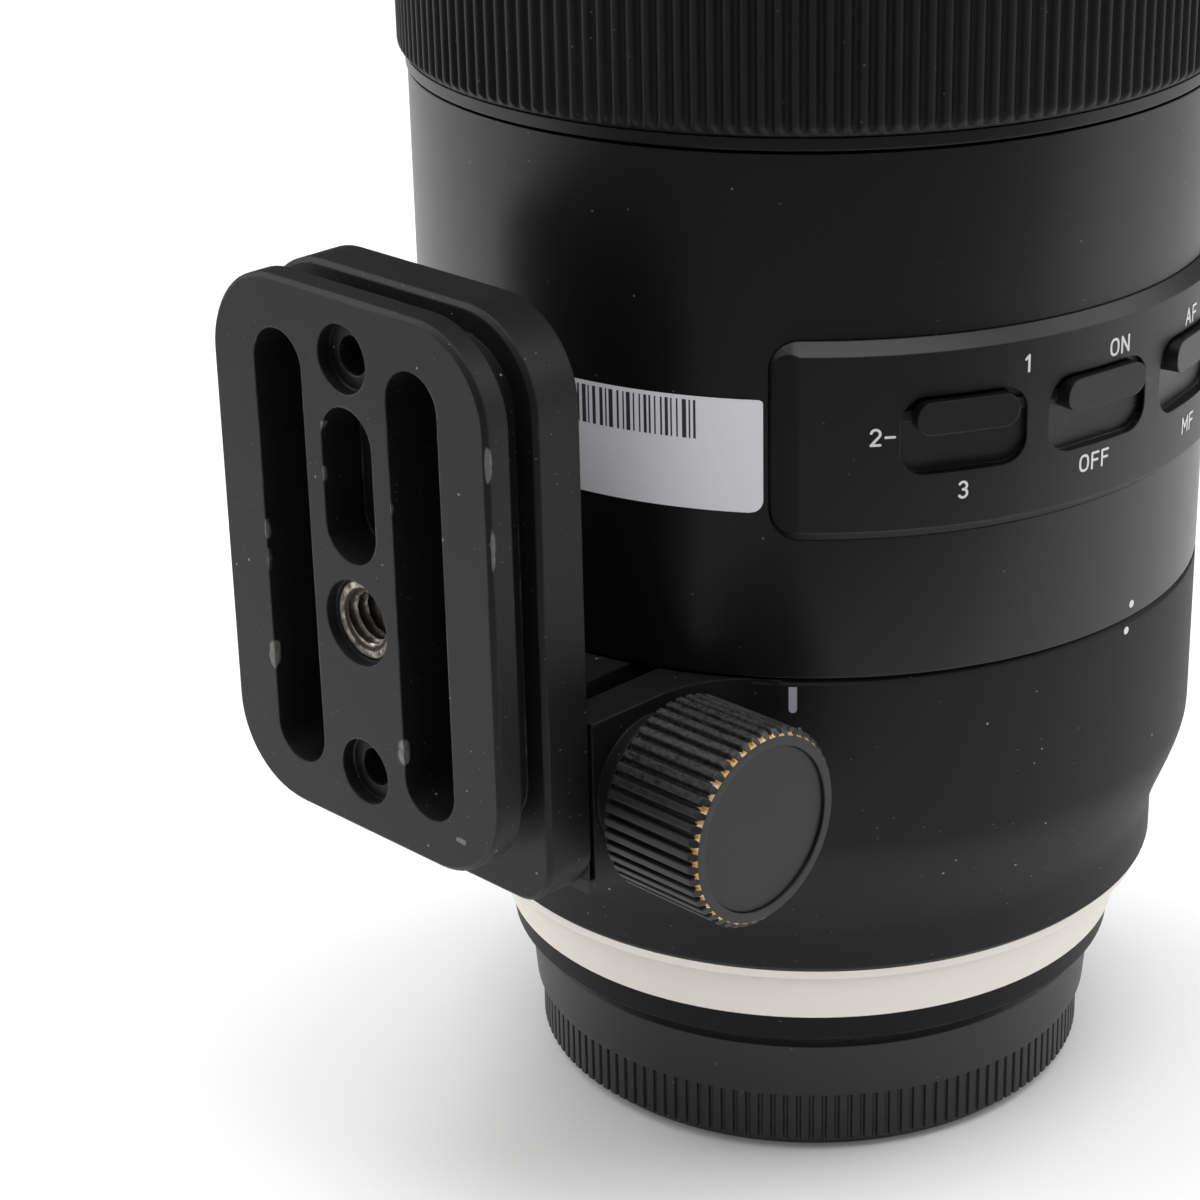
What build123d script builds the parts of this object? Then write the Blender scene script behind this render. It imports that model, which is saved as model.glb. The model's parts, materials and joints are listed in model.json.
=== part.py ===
from build123d import *
import math
import os

os.makedirs("parts", exist_ok=True)

# A 70-200 mm f/2.8 class zoom lens that stands upright on its rear cap.
# +Z is the optical axis and points to the front, z = 0 is the cap's bottom, and the
# tripod foot faces -Y. An azimuth is in degrees from -Y towards +X, all sizes in mm.

# Driving radii, from the outside in
GRIP_R = 44.0          # over the rubber ribs, the greatest radius
LIP_R = 43.2           # plain lips of the two turning rings
BARREL_R = 43.0        # outer shells
BARREL_WALL = 1.3
RING_CORE_R = 42.4     # turned seat under a rubber grip
SPIGOT_R = 40.7        # fixed neck that a turning ring runs on
SPIGOT_WALL = 1.2
SLEEVE_R = 37.0        # long straight-guide sleeve
SLEEVE_WALL = 1.6
COLLAR_SEAT_R = 36.5   # rear barrel where the tripod collar turns
MOUNT_CORE_R = 33.6    # bayonet flange and the foot of the rear barrel

# Driving heights, stacked from the floor up
CAP_H = 15.7
CAP_GAP = 0.3
MOUNT_RING_H = 3.5
ACCENT_H = 7.4
COLLAR_GAP = 0.3
COLLAR_H = 35.9
BARREL_H = 54.1
RING_SEAM = 0.4
FOCUS_H = 28.1
BAND_H = 11.6
ZOOM_H = 35.6
FRONT_H = 15.4         # up to 193.8 mm from mount face to front rim

# Clearances
FIT = 0.05             # between pieces fixed to each other
RUN = 0.08             # radial clearance of a turning or sliding fit
AIR = 0.3              # between pieces that pass each other
CUT = 1.0              # overrun of every cut

# Heights above the floor that follow from the stack
FLANGE_Z = CAP_H + CAP_GAP
ACCENT_Z0 = FLANGE_Z + MOUNT_RING_H
ACCENT_Z1 = ACCENT_Z0 + ACCENT_H
COLLAR_Z0 = ACCENT_Z1 + COLLAR_GAP
COLLAR_Z1 = COLLAR_Z0 + COLLAR_H
BARREL_Z0 = COLLAR_Z1 + COLLAR_GAP
BARREL_Z1 = BARREL_Z0 + BARREL_H
FOCUS_Z0 = BARREL_Z1 + RING_SEAM
FOCUS_Z1 = FOCUS_Z0 + FOCUS_H
BAND_Z0 = FOCUS_Z1 + RING_SEAM
BAND_Z1 = BAND_Z0 + BAND_H
ZOOM_Z0 = BAND_Z1 + RING_SEAM
ZOOM_Z1 = ZOOM_Z0 + ZOOM_H
FRONT_Z0 = ZOOM_Z1 + RING_SEAM
FRONT_Z1 = FRONT_Z0 + FRONT_H

# Radii that follow
BARREL_BORE = BARREL_R - BARREL_WALL
SPIGOT_BORE = SPIGOT_R - SPIGOT_WALL
RING_BORE = SPIGOT_R + RUN
SLEEVE_BORE = SLEEVE_R - SLEEVE_WALL
CELL_R = SLEEVE_BORE - RUN
CAM_BORE = SLEEVE_R + RUN

# How far the mechanism moves
ZOOM_TURN = 75.0       # degrees of the zoom ring, 70 to 200 mm
VARIATOR_TRAVEL = 24.0
COMPENSATOR_TRAVEL = 8.0
FOCUS_TURN = 178.0     # degrees of the focus ring
FOCUS_RATIO = 0.5      # the roller carrier turns half as far as the ring
FOCUS_TRAVEL = 10.0


def world(azimuth):
    """Azimuth from -Y towards +X, as the usual angle from +X."""
    return azimuth - 90.0


def turned(points):
    """Solid of revolution about Z of an outline of (radius, height) points."""
    return revolve(Plane.XZ * make_face(Polyline(*points, close=True)), Axis.Z)


def ring(r_out, r_in, z0, z1):
    """Plain tube about Z."""
    return Pos(0, 0, z0) * extrude(Circle(r_out) - Circle(r_in), amount=z1 - z0)


def disc(r, z0, z1):
    """Plain disc about Z."""
    return Pos(0, 0, z0) * extrude(Circle(r), amount=z1 - z0)


def sector(r_out, r_in, z0, z1, a0, a1):
    """Part of a tube between two azimuths."""
    points = [(r_in, z0), (r_out, z0), (r_out, z1), (r_in, z1)]
    face = Plane.XZ * make_face(Polyline(*points, close=True))
    return Rot(0, 0, world(a0)) * revolve(face, Axis.Z, revolution_arc=a1 - a0)


def radial_pin(azimuth, z, r0, r1, radius):
    """Round pin whose axis is a radius of the lens."""
    pin = extrude(Plane.YZ * Circle(radius), amount=r1 - r0)
    return Rot(0, 0, world(azimuth)) * Pos(r0, 0, z) * pin


def radial_block(azimuth, z, width, height, corner, r0, r1):
    """Block with rounded corners that stands along a radius of the lens."""
    block = extrude(Plane.YZ * RectangleRounded(width, height, corner), amount=r1 - r0)
    return Rot(0, 0, world(azimuth)) * Pos(r0, 0, z) * block


def polar(r, degrees):
    """Flat point at a radius and an angle."""
    return (r * math.cos(math.radians(degrees)), r * math.sin(math.radians(degrees)))


def fluted(r_low, r_high, count, land_share):
    """Face with straight-sided ribs round its rim; land_share is the rib's part of a pitch."""
    pitch = 360.0 / count
    flank = pitch * (1.0 - land_share) / 4.0
    points = []
    for i in range(count):
        middle = i * pitch
        land = pitch * land_share / 2.0
        for r, offset in ((r_low, -land - flank), (r_high, -land), (r_high, land), (r_low, land + flank)):
            points.append(polar(r, middle + offset))
    return make_face(Polyline(*points, close=True))


def helical_slot(r0, r1, azimuth, z, turn, drop, width):
    """Cutter for a cam slot that a pin at (azimuth, z) enters at rest and leaves drop lower."""
    path = Helix(pitch=drop * 360.0 / turn, height=drop, radius=(r0 + r1) / 2.0)
    start = Plane(origin=path @ 0, x_dir=(1, 0, 0), z_dir=path % 0)
    body = sweep(start * Rectangle(r1 - r0, width), path=path, is_frenet=True)
    cutter = Rot(0, 0, world(azimuth - turn)) * Pos(0, 0, z - drop) * body
    cutter += radial_pin(azimuth, z, r0, r1, width / 2.0)
    cutter += radial_pin(azimuth - turn, z - drop, r0, r1, width / 2.0)
    return cutter


def straight_slot(r0, r1, azimuth, z, drop, width):
    """Cutter for a guide slot along Z, from z down to z - drop, with round ends."""
    height = drop + width
    cutter = extrude(Plane.YZ * SlotOverall(height, width, rotation=90), amount=r1 - r0)
    return Rot(0, 0, world(azimuth)) * Pos(r0, 0, z - drop / 2.0) * cutter


def lens_side(radius, z_rim, bulge):
    """Half outline of one lens face, from the axis to the rim."""
    if bulge == 0:
        return Line((0, z_rim), (radius, z_rim))
    return TangentArc((0, z_rim + bulge), (radius, z_rim), tangent=(1, 0))


def lens(radius, z0, z1, bulge_low, bulge_high):
    """Lens element: rim between z0 and z1, with spherical faces that bulge outwards when positive."""
    low = lens_side(radius, z0, -bulge_low)
    high = lens_side(radius, z1, bulge_high)
    edge = Line((radius, z0), (radius, z1))
    core = Line((0, z1 + bulge_high), (0, z0 - bulge_low))
    return revolve(Plane.XZ * make_face(low + edge + high + core), Axis.Z)


def save(shape, name):
    """Write one piece to its own file."""
    export_step(shape, f"parts/{name}.step")


# Rear bayonet, its screws and the contacts
BAYONET_FLANGE_H = 2.2
BAYONET_TUBE_R = 25.6
BAYONET_TUBE_WALL = 2.0
BAYONET_DEPTH = 6.4
LUG_R = 27.2
LUG_H = 1.4
LUG_COUNT = 3
LUG_ARC = 50.0
MOUNT_SCREW_COUNT = 4
MOUNT_SCREW_CIRCLE_R = 30.4
MOUNT_SCREW_R = 1.0
MOUNT_SCREW_HEAD_R = 1.8
MOUNT_SCREW_HEAD_H = 1.1
MOUNT_SCREW_L = 4.0
THROAT_R = BAYONET_TUBE_R - BAYONET_TUBE_WALL
BAYONET_Z0 = FLANGE_Z - BAYONET_DEPTH
BAYONET_Z1 = FLANGE_Z + BAYONET_FLANGE_H


def mount_screw_places():
    """Angles of the flange screws."""
    return [45.0 + i * 360.0 / MOUNT_SCREW_COUNT for i in range(MOUNT_SCREW_COUNT)]


def mount_screw(angle, extra_r, extra_l):
    """One flange screw, or its hole when the extras are not zero."""
    x, y = polar(MOUNT_SCREW_CIRCLE_R, angle)
    head = disc(MOUNT_SCREW_HEAD_R + extra_r, FLANGE_Z - extra_l, FLANGE_Z + MOUNT_SCREW_HEAD_H)
    shank = disc(MOUNT_SCREW_R + extra_r, FLANGE_Z, FLANGE_Z + MOUNT_SCREW_L + extra_r)
    return Pos(x, y, 0) * (head + shank)


def rear_bayonet():
    """Flange, throat tube and the three lugs that lock into a camera."""
    body = ring(MOUNT_CORE_R, THROAT_R, FLANGE_Z, BAYONET_Z1)
    body += ring(BAYONET_TUBE_R, THROAT_R, BAYONET_Z0, FLANGE_Z)
    for i in range(LUG_COUNT):
        start = i * 360.0 / LUG_COUNT - LUG_ARC / 2.0
        body += sector(LUG_R, THROAT_R, BAYONET_Z0, BAYONET_Z0 + LUG_H, start, start + LUG_ARC)
    for angle in mount_screw_places():
        body -= mount_screw(angle, FIT, CUT)
    return body


def mount_screws():
    """Four flange screws, as separate solids."""
    recess_r = MOUNT_SCREW_HEAD_R / 2.0
    recess_h = MOUNT_SCREW_HEAD_H / 2.0
    screws = []
    for angle in mount_screw_places():
        x, y = polar(MOUNT_SCREW_CIRCLE_R, angle)
        cross = Pos(x, y, 0) * disc(recess_r, FLANGE_Z - CUT, FLANGE_Z + recess_h)
        screws.append(mount_screw(angle, 0, 0) - cross)
    return Compound(children=screws)


CONTACT_ARC = 64.0
CONTACT_WALL = 3.6
CONTACT_H = 4.0
CONTACT_DROP = 0.4
CONTACT_COUNT = 8
CONTACT_PIN_R = 0.8
CONTACT_PIN_OUT = 0.5
CONTACT_Z0 = BAYONET_Z0 + CONTACT_DROP
CONTACT_R = THROAT_R - FIT - CONTACT_WALL / 2.0


def contact_places():
    """Angles of the contact pins, evenly spread over the block."""
    step = CONTACT_ARC / (CONTACT_COUNT + 1)
    return [world(-CONTACT_ARC / 2.0 + step * (i + 1)) for i in range(CONTACT_COUNT)]


def contact_pin(angle, extra):
    """One spring contact, or its hole when extra is not zero."""
    x, y = polar(CONTACT_R, angle)
    return Pos(x, y, 0) * disc(CONTACT_PIN_R + extra, CONTACT_Z0 - CONTACT_PIN_OUT - extra,
                               CONTACT_Z0 + CONTACT_H / 2.0 + extra)


def contact_block():
    """Curved plastic block that holds the contact pins."""
    block = sector(THROAT_R - FIT, THROAT_R - FIT - CONTACT_WALL, CONTACT_Z0, CONTACT_Z0 + CONTACT_H,
                   -CONTACT_ARC / 2.0, CONTACT_ARC / 2.0)
    for angle in contact_places():
        block -= contact_pin(angle, FIT)
    return block


def contact_pins():
    """Contact pins, as separate solids."""
    return Compound(children=[contact_pin(angle, 0) for angle in contact_places()])


# Rear cap, which the lens stands on
CAP_FLOOR = 2.0
CAP_WALL = 2.4
CAP_FOOT_R = 30.3
CAP_RIB_R = 31.9
CAP_RIB_LOW_R = 31.6
CAP_BAND_R = 32.6
CAP_TOP_R = 33.2
CAP_EDGE = 1.5
CAP_RIB_Z0 = 1.4
CAP_RIB_Z1 = 7.6
CAP_RIB_COUNT = 140
CAP_LUG_H = 1.4
CAP_RIB_SHARE = 0.6


def rear_cap():
    """Cup with a ribbed band outside and three lugs inside that grip the bayonet."""
    bore = CAP_RIB_LOW_R - CAP_WALL
    outline = [(0, 0), (CAP_FOOT_R, 0), (CAP_RIB_LOW_R, CAP_RIB_Z0), (CAP_RIB_LOW_R, CAP_RIB_Z1),
               (CAP_BAND_R, CAP_RIB_Z1), (CAP_TOP_R, CAP_H - CAP_EDGE), (CAP_TOP_R - CAP_EDGE, CAP_H),
               (bore, CAP_H), (bore, CAP_FLOOR), (0, CAP_FLOOR)]
    body = turned(outline)
    band = fluted(CAP_RIB_LOW_R - FIT, CAP_RIB_R, CAP_RIB_COUNT, CAP_RIB_SHARE) - Circle(bore + FIT)
    body += Pos(0, 0, CAP_RIB_Z0) * extrude(band, amount=CAP_RIB_Z1 - CAP_RIB_Z0)
    lug_z0 = BAYONET_Z0 + LUG_H + AIR
    for i in range(LUG_COUNT):
        start = i * 360.0 / LUG_COUNT - LUG_ARC / 2.0
        body += sector(bore + FIT, BAYONET_TUBE_R + AIR, lug_z0, lug_z0 + CAP_LUG_H, start, start + LUG_ARC)
    return body


# Black mount ring and the champagne accent ring
MOUNT_RING_R = 35.0
MOUNT_RING_EDGE = 0.5
ACCENT_LOW_R = 35.7
ACCENT_HIGH_R = 38.6
ACCENT_RIM_H = 0.9
ACCENT_COVE_SHARES = ((0.04, 0.30), (0.14, 0.50), (0.34, 0.70), (0.70, 0.92))


def mount_ring():
    """Black ring round the bayonet flange."""
    bore = MOUNT_CORE_R + FIT
    edge = MOUNT_RING_EDGE
    return turned([(bore, FLANGE_Z), (MOUNT_RING_R - edge, FLANGE_Z), (MOUNT_RING_R, FLANGE_Z + edge),
                   (MOUNT_RING_R, ACCENT_Z0), (bore, ACCENT_Z0)])


def accent_ring():
    """Satin metal ring that flares up to a thin rim in a shallow cove."""
    bore = MOUNT_CORE_R + FIT
    rim_z = ACCENT_Z1 - ACCENT_RIM_H
    flare = ACCENT_HIGH_R - ACCENT_LOW_R
    climb = rim_z - ACCENT_Z0
    points = [(bore, ACCENT_Z0), (ACCENT_LOW_R, ACCENT_Z0)]
    for out_share, up_share in ACCENT_COVE_SHARES:
        points.append((ACCENT_LOW_R + flare * out_share, ACCENT_Z0 + climb * up_share))
    points += [(ACCENT_HIGH_R, rim_z), (ACCENT_HIGH_R, ACCENT_Z1), (bore, ACCENT_Z1)]
    return turned(points)


# Rear barrel: base flange, collar seat and the disc that carries barrel and sleeve
REAR_BARREL_WALL = 1.9
BASE_FLANGE_H = 2.0
BASE_FLANGE_BORE = 26.0
DECK_H = 3.0


def rear_barrel():
    """Stepped tube from the bayonet flange up to the deck under the main barrel."""
    low_bore = MOUNT_CORE_R - REAR_BARREL_WALL
    high_bore = COLLAR_SEAT_R - REAR_BARREL_WALL
    deck_r = BARREL_BORE - FIT
    step_z = ACCENT_Z1 + REAR_BARREL_WALL
    body = turned([(BASE_FLANGE_BORE, BAYONET_Z1), (MOUNT_CORE_R, BAYONET_Z1), (MOUNT_CORE_R, ACCENT_Z1),
                   (COLLAR_SEAT_R, ACCENT_Z1), (COLLAR_SEAT_R, BARREL_Z0), (deck_r, BARREL_Z0),
                   (deck_r, BARREL_Z0 + DECK_H), (high_bore, BARREL_Z0 + DECK_H), (high_bore, step_z),
                   (low_bore, step_z), (low_bore, BAYONET_Z1 + BASE_FLANGE_H),
                   (BASE_FLANGE_BORE, BAYONET_Z1 + BASE_FLANGE_H)])
    for angle in mount_screw_places():
        body -= mount_screw(angle, FIT, CUT)
    return body


SLEEVE_Z0 = BARREL_Z0 + DECK_H

# Tripod collar: a clamp ring, its neck and the dovetail foot, cast in one piece
COLLAR_LOW_R = 39.4
COLLAR_EDGE = 0.5
SHOULDER_LOW_UP = 4.3
SHOULDER_HIGH_UP = 17.3
SHOULDER_Z0 = COLLAR_Z0 + SHOULDER_LOW_UP
SHOULDER_Z1 = COLLAR_Z0 + SHOULDER_HIGH_UP
SHOULDER_PULL_SHARE = 0.3
FOOT_FACE_Y = 66.9
FOOT_FACE_W = 40.0
FOOT_BEVEL = 0.45
FOOT_FLANGE_T = 3.3
FOOT_GROOVE_T = 3.0
FOOT_GROOVE_D = 2.8
FOOT_PLATE_T = 5.6
FOOT_TOP_UP = 42.9     # above the clamp ring
FOOT_FLANGE_H = 57.0
FOOT_PLATE_H = 61.4
FOOT_CORNER = 9.5
PLATE_LOW_CORNER = 5.0
PLATE_EDGE = 0.45
NECK_W = 39.6
NECK_FLARE_R = 12.0    # fillet in plan between the neck's sides and the ring
NECK_FLARE_W = 6.5
NECK_ROOT_Y = 32.0
SLOT_X = 9.8
SLOT_W = 7.2
SLOT_DROP = 5.3        # below the foot's top, as are the next ones
SLOT_L = 46.7
SLOT_DEPTH = 7.5
MID_SLOT_W = 7.4
MID_SLOT_DROP = 11.2
MID_SLOT_L = 16.2
MID_SLOT_DEPTH = 5.0
STOP_HOLE_DROP = 6.3
STOP_HOLE_SPAN = 43.7
STOP_SINK_R = 3.5
STOP_SINK_D = 1.5
STOP_HOLE_R = 2.0
STOP_HOLE_D = 6.0
THREAD_DROP = 33.7
THREAD_SINK_R = 4.5
THREAD_SINK_D = 1.2
INSERT_R = 4.2
INSERT_L = 8.6
THREAD_BORE_R = 2.55   # minor radius of a 1/4-20 thread
CLAMP_Y = 46.6
CLAMP_DROP = 8.7       # below the clamp ring's top
CLAMP_SCREW_R = 2.5
SLIT_X = 12.2
SLIT_W = 3.0
SLIT_START_Y = 33.0
SLIT_DEPTH = 17.0      # the slit and the ear's gap stop above the shoulder
EAR_GAP = 0.8
EAR_BOSS_R = 7.0
EAR_BOSS_H = 1.5
CLAMP_HOLE_END_X = -12.0

FOOT_FLANGE_Y = FOOT_FACE_Y - FOOT_FLANGE_T
FOOT_GROOVE_Y = FOOT_FLANGE_Y - FOOT_GROOVE_T
FOOT_PLATE_Y = FOOT_GROOVE_Y - FOOT_PLATE_T
FOOT_TOP_Z = COLLAR_Z1 + FOOT_TOP_UP
PLATE_Z0 = FOOT_TOP_Z - FOOT_PLATE_H
STOP_HOLE_ZS = (FOOT_TOP_Z - STOP_HOLE_DROP, FOOT_TOP_Z - STOP_HOLE_DROP - STOP_HOLE_SPAN)
THREAD_Z = FOOT_TOP_Z - THREAD_DROP
CLAMP_Z = COLLAR_Z1 - CLAMP_DROP
EAR_X1 = NECK_W / 2.0


def upright(sketch, y_near, y_far):
    """Extrude a sketch drawn in X and Z from y = -y_near out to y = -y_far."""
    return Pos(0, -y_near, 0) * extrude(Plane.XZ * sketch, amount=y_far - y_near)


def slit_block(x0, x1, y_near, y_far):
    """Cutter down into the ring's top, between two x values and two distances out towards -Y."""
    sketch = Pos((x0 + x1) / 2.0, -(y_near + y_far) / 2.0) * Rectangle(x1 - x0, y_far - y_near)
    return Pos(0, 0, COLLAR_Z1 - SLIT_DEPTH) * extrude(sketch, amount=SLIT_DEPTH + CUT)


def along_x(face, x0, x1):
    """Extrude a face drawn in Y and Z along the clamp screw's axis."""
    return Pos(x0, -CLAMP_Y, CLAMP_Z) * extrude(Plane.YZ * face, amount=x1 - x0)


def foot_hole(x, z, radius, depth):
    """Round hole into the foot's face."""
    return upright(Pos(x, z) * Circle(radius), FOOT_FACE_Y - depth, FOOT_FACE_Y + CUT)


def foot_slot(x, drop, length, width, depth):
    """Round-ended pocket into the foot's face, along Z, that starts below the foot's top."""
    sketch = Pos(x, FOOT_TOP_Z - drop - length / 2.0) * SlotOverall(length, width, rotation=90)
    return upright(sketch, FOOT_FACE_Y - depth, FOOT_FACE_Y + CUT)


def collar_ring():
    """Ring with a straight upper band, a curved shoulder and a slimmer lower band."""
    bore = COLLAR_SEAT_R + RUN
    pull = (SHOULDER_Z1 - SHOULDER_Z0) * SHOULDER_PULL_SHARE
    low = Polyline((bore, COLLAR_Z0), (COLLAR_LOW_R - COLLAR_EDGE, COLLAR_Z0),
                   (COLLAR_LOW_R, COLLAR_Z0 + COLLAR_EDGE), (COLLAR_LOW_R, SHOULDER_Z0))
    shoulder = Bezier((COLLAR_LOW_R, SHOULDER_Z0), (COLLAR_LOW_R, SHOULDER_Z0 + pull),
                      (BARREL_R, SHOULDER_Z1 - pull), (BARREL_R, SHOULDER_Z1))
    high = Polyline((BARREL_R, SHOULDER_Z1), (BARREL_R, COLLAR_Z1 - COLLAR_EDGE),
                    (BARREL_R - COLLAR_EDGE, COLLAR_Z1), (bore, COLLAR_Z1), (bore, COLLAR_Z0))
    return revolve(Plane.XZ * make_face(low + shoulder + high), Axis.Z)


def collar_neck():
    """Block between ring and foot whose sides flare out into the ring."""
    far_y = FOOT_PLATE_Y + FIT
    reach = far_y - NECK_ROOT_Y
    plan = Pos(0, -NECK_ROOT_Y - reach / 2.0) * Rectangle(NECK_W + 2 * NECK_FLARE_W, reach)
    side_x = EAR_X1 + NECK_FLARE_R
    side_y = math.sqrt((BARREL_R + NECK_FLARE_R - AIR / 2.0) ** 2 - side_x ** 2)
    open_y = far_y + CUT - side_y
    for side in (-1, 1):
        plan -= Pos(side * side_x, -side_y) * Circle(NECK_FLARE_R)
        plan -= Pos(side * side_x, -side_y - open_y / 2.0) * Rectangle(2 * NECK_FLARE_R, open_y)
    neck = Pos(0, 0, PLATE_Z0) * extrude(plan, amount=COLLAR_Z1 - PLATE_Z0)
    return neck - disc(COLLAR_SEAT_R + RUN, PLATE_Z0 - CUT, COLLAR_Z1 + CUT)


def plate_outline(width, height, top_corner, low_corner):
    """Upright plate with its top edge at the foot's top and two sizes of rounded corner."""
    middle = Pos(0, FOOT_TOP_Z - height / 2.0)
    face = middle * Rectangle(width, height)
    corners = face.vertices().sort_by(Axis.Y)
    face = fillet(corners[2:], top_corner)
    corners = face.vertices().sort_by(Axis.Y)
    return fillet(corners[:2], low_corner)


def tripod_collar():
    """Clamp ring, neck with its slit ear, dovetail rail, pockets and holes."""
    flange = upright(plate_outline(FOOT_FACE_W, FOOT_FLANGE_H, FOOT_CORNER, FOOT_CORNER),
                     FOOT_FLANGE_Y, FOOT_FACE_Y)
    flange = chamfer(flange.faces().sort_by(Axis.Y)[0].edges(), FOOT_BEVEL)
    flange = chamfer(flange.faces().sort_by(Axis.Y)[-1].edges(), FOOT_BEVEL)
    groove_w = FOOT_FACE_W - 2 * FOOT_GROOVE_D
    groove = upright(Pos(0, -FOOT_GROOVE_D) * plate_outline(groove_w, FOOT_FLANGE_H - 2 * FOOT_GROOVE_D,
                     FOOT_CORNER - FOOT_GROOVE_D, FOOT_CORNER - FOOT_GROOVE_D),
                     FOOT_GROOVE_Y - FIT, FOOT_FLANGE_Y + FIT)
    plate = upright(plate_outline(FOOT_FACE_W, FOOT_PLATE_H, FOOT_CORNER, PLATE_LOW_CORNER),
                    FOOT_PLATE_Y, FOOT_GROOVE_Y)
    plate = chamfer(plate.faces().sort_by(Axis.Y)[0].edges(), PLATE_EDGE)
    boss = along_x(Circle(EAR_BOSS_R), EAR_X1 - FIT, EAR_X1 + EAR_BOSS_H)
    body = collar_ring() + collar_neck() + boss + plate + groove + flange
    body -= slit_block(SLIT_X, SLIT_X + SLIT_W, SLIT_START_Y, FOOT_PLATE_Y)
    body -= slit_block(SLIT_X, EAR_X1 + EAR_BOSS_H, FOOT_PLATE_Y - EAR_GAP, FOOT_PLATE_Y)
    body -= along_x(Circle(CLAMP_SCREW_R + RUN), CLAMP_HOLE_END_X, EAR_X1 + EAR_BOSS_H + CUT)
    for x in (-SLOT_X, SLOT_X):
        body -= foot_slot(x, SLOT_DROP, SLOT_L, SLOT_W, SLOT_DEPTH)
    body -= foot_slot(0, MID_SLOT_DROP, MID_SLOT_L, MID_SLOT_W, MID_SLOT_DEPTH)
    for z in STOP_HOLE_ZS:
        body -= foot_hole(0, z, STOP_SINK_R, STOP_SINK_D)
        body -= foot_hole(0, z, STOP_HOLE_R, STOP_HOLE_D)
    body -= foot_hole(0, THREAD_Z, THREAD_SINK_R, THREAD_SINK_D)
    body -= foot_hole(0, THREAD_Z, INSERT_R + FIT, THREAD_SINK_D + INSERT_L + FIT)
    return body


def thread_insert():
    """Steel bush with the tripod thread's bore."""
    y = FOOT_FACE_Y - THREAD_SINK_D
    return upright(Pos(0, THREAD_Z) * (Circle(INSERT_R) - Circle(THREAD_BORE_R)), y - INSERT_L, y)


# Clamp washer, screw, knob and the knob's cap disc
WASHER_R = 6.4
WASHER_T = 1.4
KNOB_R = 10.3
KNOB_LOW_R = 9.7
KNOB_L = 12.0
KNOB_HUB_R = 7.0
KNOB_HUB_L = 1.2
KNOB_FLUTES = 45
KNOB_LAND_SHARE = 0.52
KNOB_EDGE = 0.7
KNOB_CAP_R = 8.6
KNOB_CAP_SINK = 0.9
KNOB_CAP_T = 0.6
SCREW_TIP_X = -10.0
SCREW_HEAD_ROOM = 2.0
WASHER_X0 = EAR_X1 + EAR_BOSS_H + FIT
KNOB_X0 = WASHER_X0 + WASHER_T + FIT
KNOB_X1 = KNOB_X0 + KNOB_HUB_L
KNOB_X2 = KNOB_X1 + KNOB_L
CAP_SEAT_X = KNOB_X2 - KNOB_CAP_SINK
SCREW_END_X = CAP_SEAT_X - SCREW_HEAD_ROOM


def clamp_washer():
    """Thrust washer between the ear's boss and the knob."""
    return along_x(Circle(WASHER_R) - Circle(CLAMP_SCREW_R + RUN), WASHER_X0, WASHER_X0 + WASHER_T)


def clamp_screw():
    """Screw that draws the ear towards the neck."""
    return along_x(Circle(CLAMP_SCREW_R), SCREW_TIP_X, SCREW_END_X)


def clamp_knob():
    """Fluted knob with a recessed face."""
    blank = along_x(Circle(KNOB_R), KNOB_X1, KNOB_X2)
    blank = chamfer(blank.edges().group_by(Axis.X)[-1], KNOB_EDGE)
    body = blank & along_x(fluted(KNOB_LOW_R, KNOB_R, KNOB_FLUTES, KNOB_LAND_SHARE), KNOB_X1, KNOB_X2)
    body += along_x(Circle(KNOB_HUB_R), KNOB_X0, KNOB_X1)
    body -= along_x(Circle(KNOB_CAP_R), CAP_SEAT_X, KNOB_X2 + CUT)
    body -= along_x(Circle(CLAMP_SCREW_R + FIT), KNOB_X0 - CUT, SCREW_END_X + FIT)
    return body


def knob_cap():
    """Thin disc set into the knob's face."""
    return along_x(Circle(KNOB_CAP_R - FIT), CAP_SEAT_X, CAP_SEAT_X + KNOB_CAP_T)


# Switch panel and its four sliders
PANEL_AZ = 92.5
PANEL_ARC = 112.2
PANEL_UP = 15.1        # above the barrel's lower end
PANEL_H = 20.6
PANEL_R = 44.5
PANEL_SINK = 0.6
PANEL_CORNER = 3.0
PANEL_BEVEL_OUT = 1.4
PANEL_BEVEL_IN = 1.2
PANEL_END_RUN = 3.1    # the bevel at the two ends is wider
SWITCH_PITCH = 20.6
SWITCH_COUNT = 4
SWITCH_UP = 10.9       # above the panel's lower edge
RECESS_W = 13.3
RECESS_H = 8.1
RECESS_CORNER = 2.6
RECESS_FLOOR_R = 43.3
SLIDER_W = 10.7
SLIDER_H = 3.4
SLIDER_CORNER = 1.6
SLIDER_R = 45.3
SLIDER_MARGIN = 0.35
TONGUE_H = 1.2         # thin end tabs that run in grooves of the bay's side walls
TONGUE_T = 0.25
TONGUE_CORNER = 0.25
GROOVE_DEPTH = 0.6
SWITCH_NAMES = ("stabiliser_mode_switch", "stabiliser_switch", "focus_mode_switch", "focus_limit_switch")
PANEL_Z0 = BARREL_Z0 + PANEL_UP
PANEL_Z1 = PANEL_Z0 + PANEL_H
SWITCH_Z = PANEL_Z0 + SWITCH_UP
SLIDER_TRAVEL = RECESS_H - SLIDER_H - 2 * SLIDER_MARGIN
SLIDER_REST_Z = SWITCH_Z + SLIDER_TRAVEL / 2.0


def switch_azimuths():
    """Azimuths of the four switches, centred on the panel."""
    first = PANEL_AZ - SWITCH_PITCH * (SWITCH_COUNT - 1) / 2.0
    return [first + SWITCH_PITCH * i for i in range(SWITCH_COUNT)]


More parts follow.
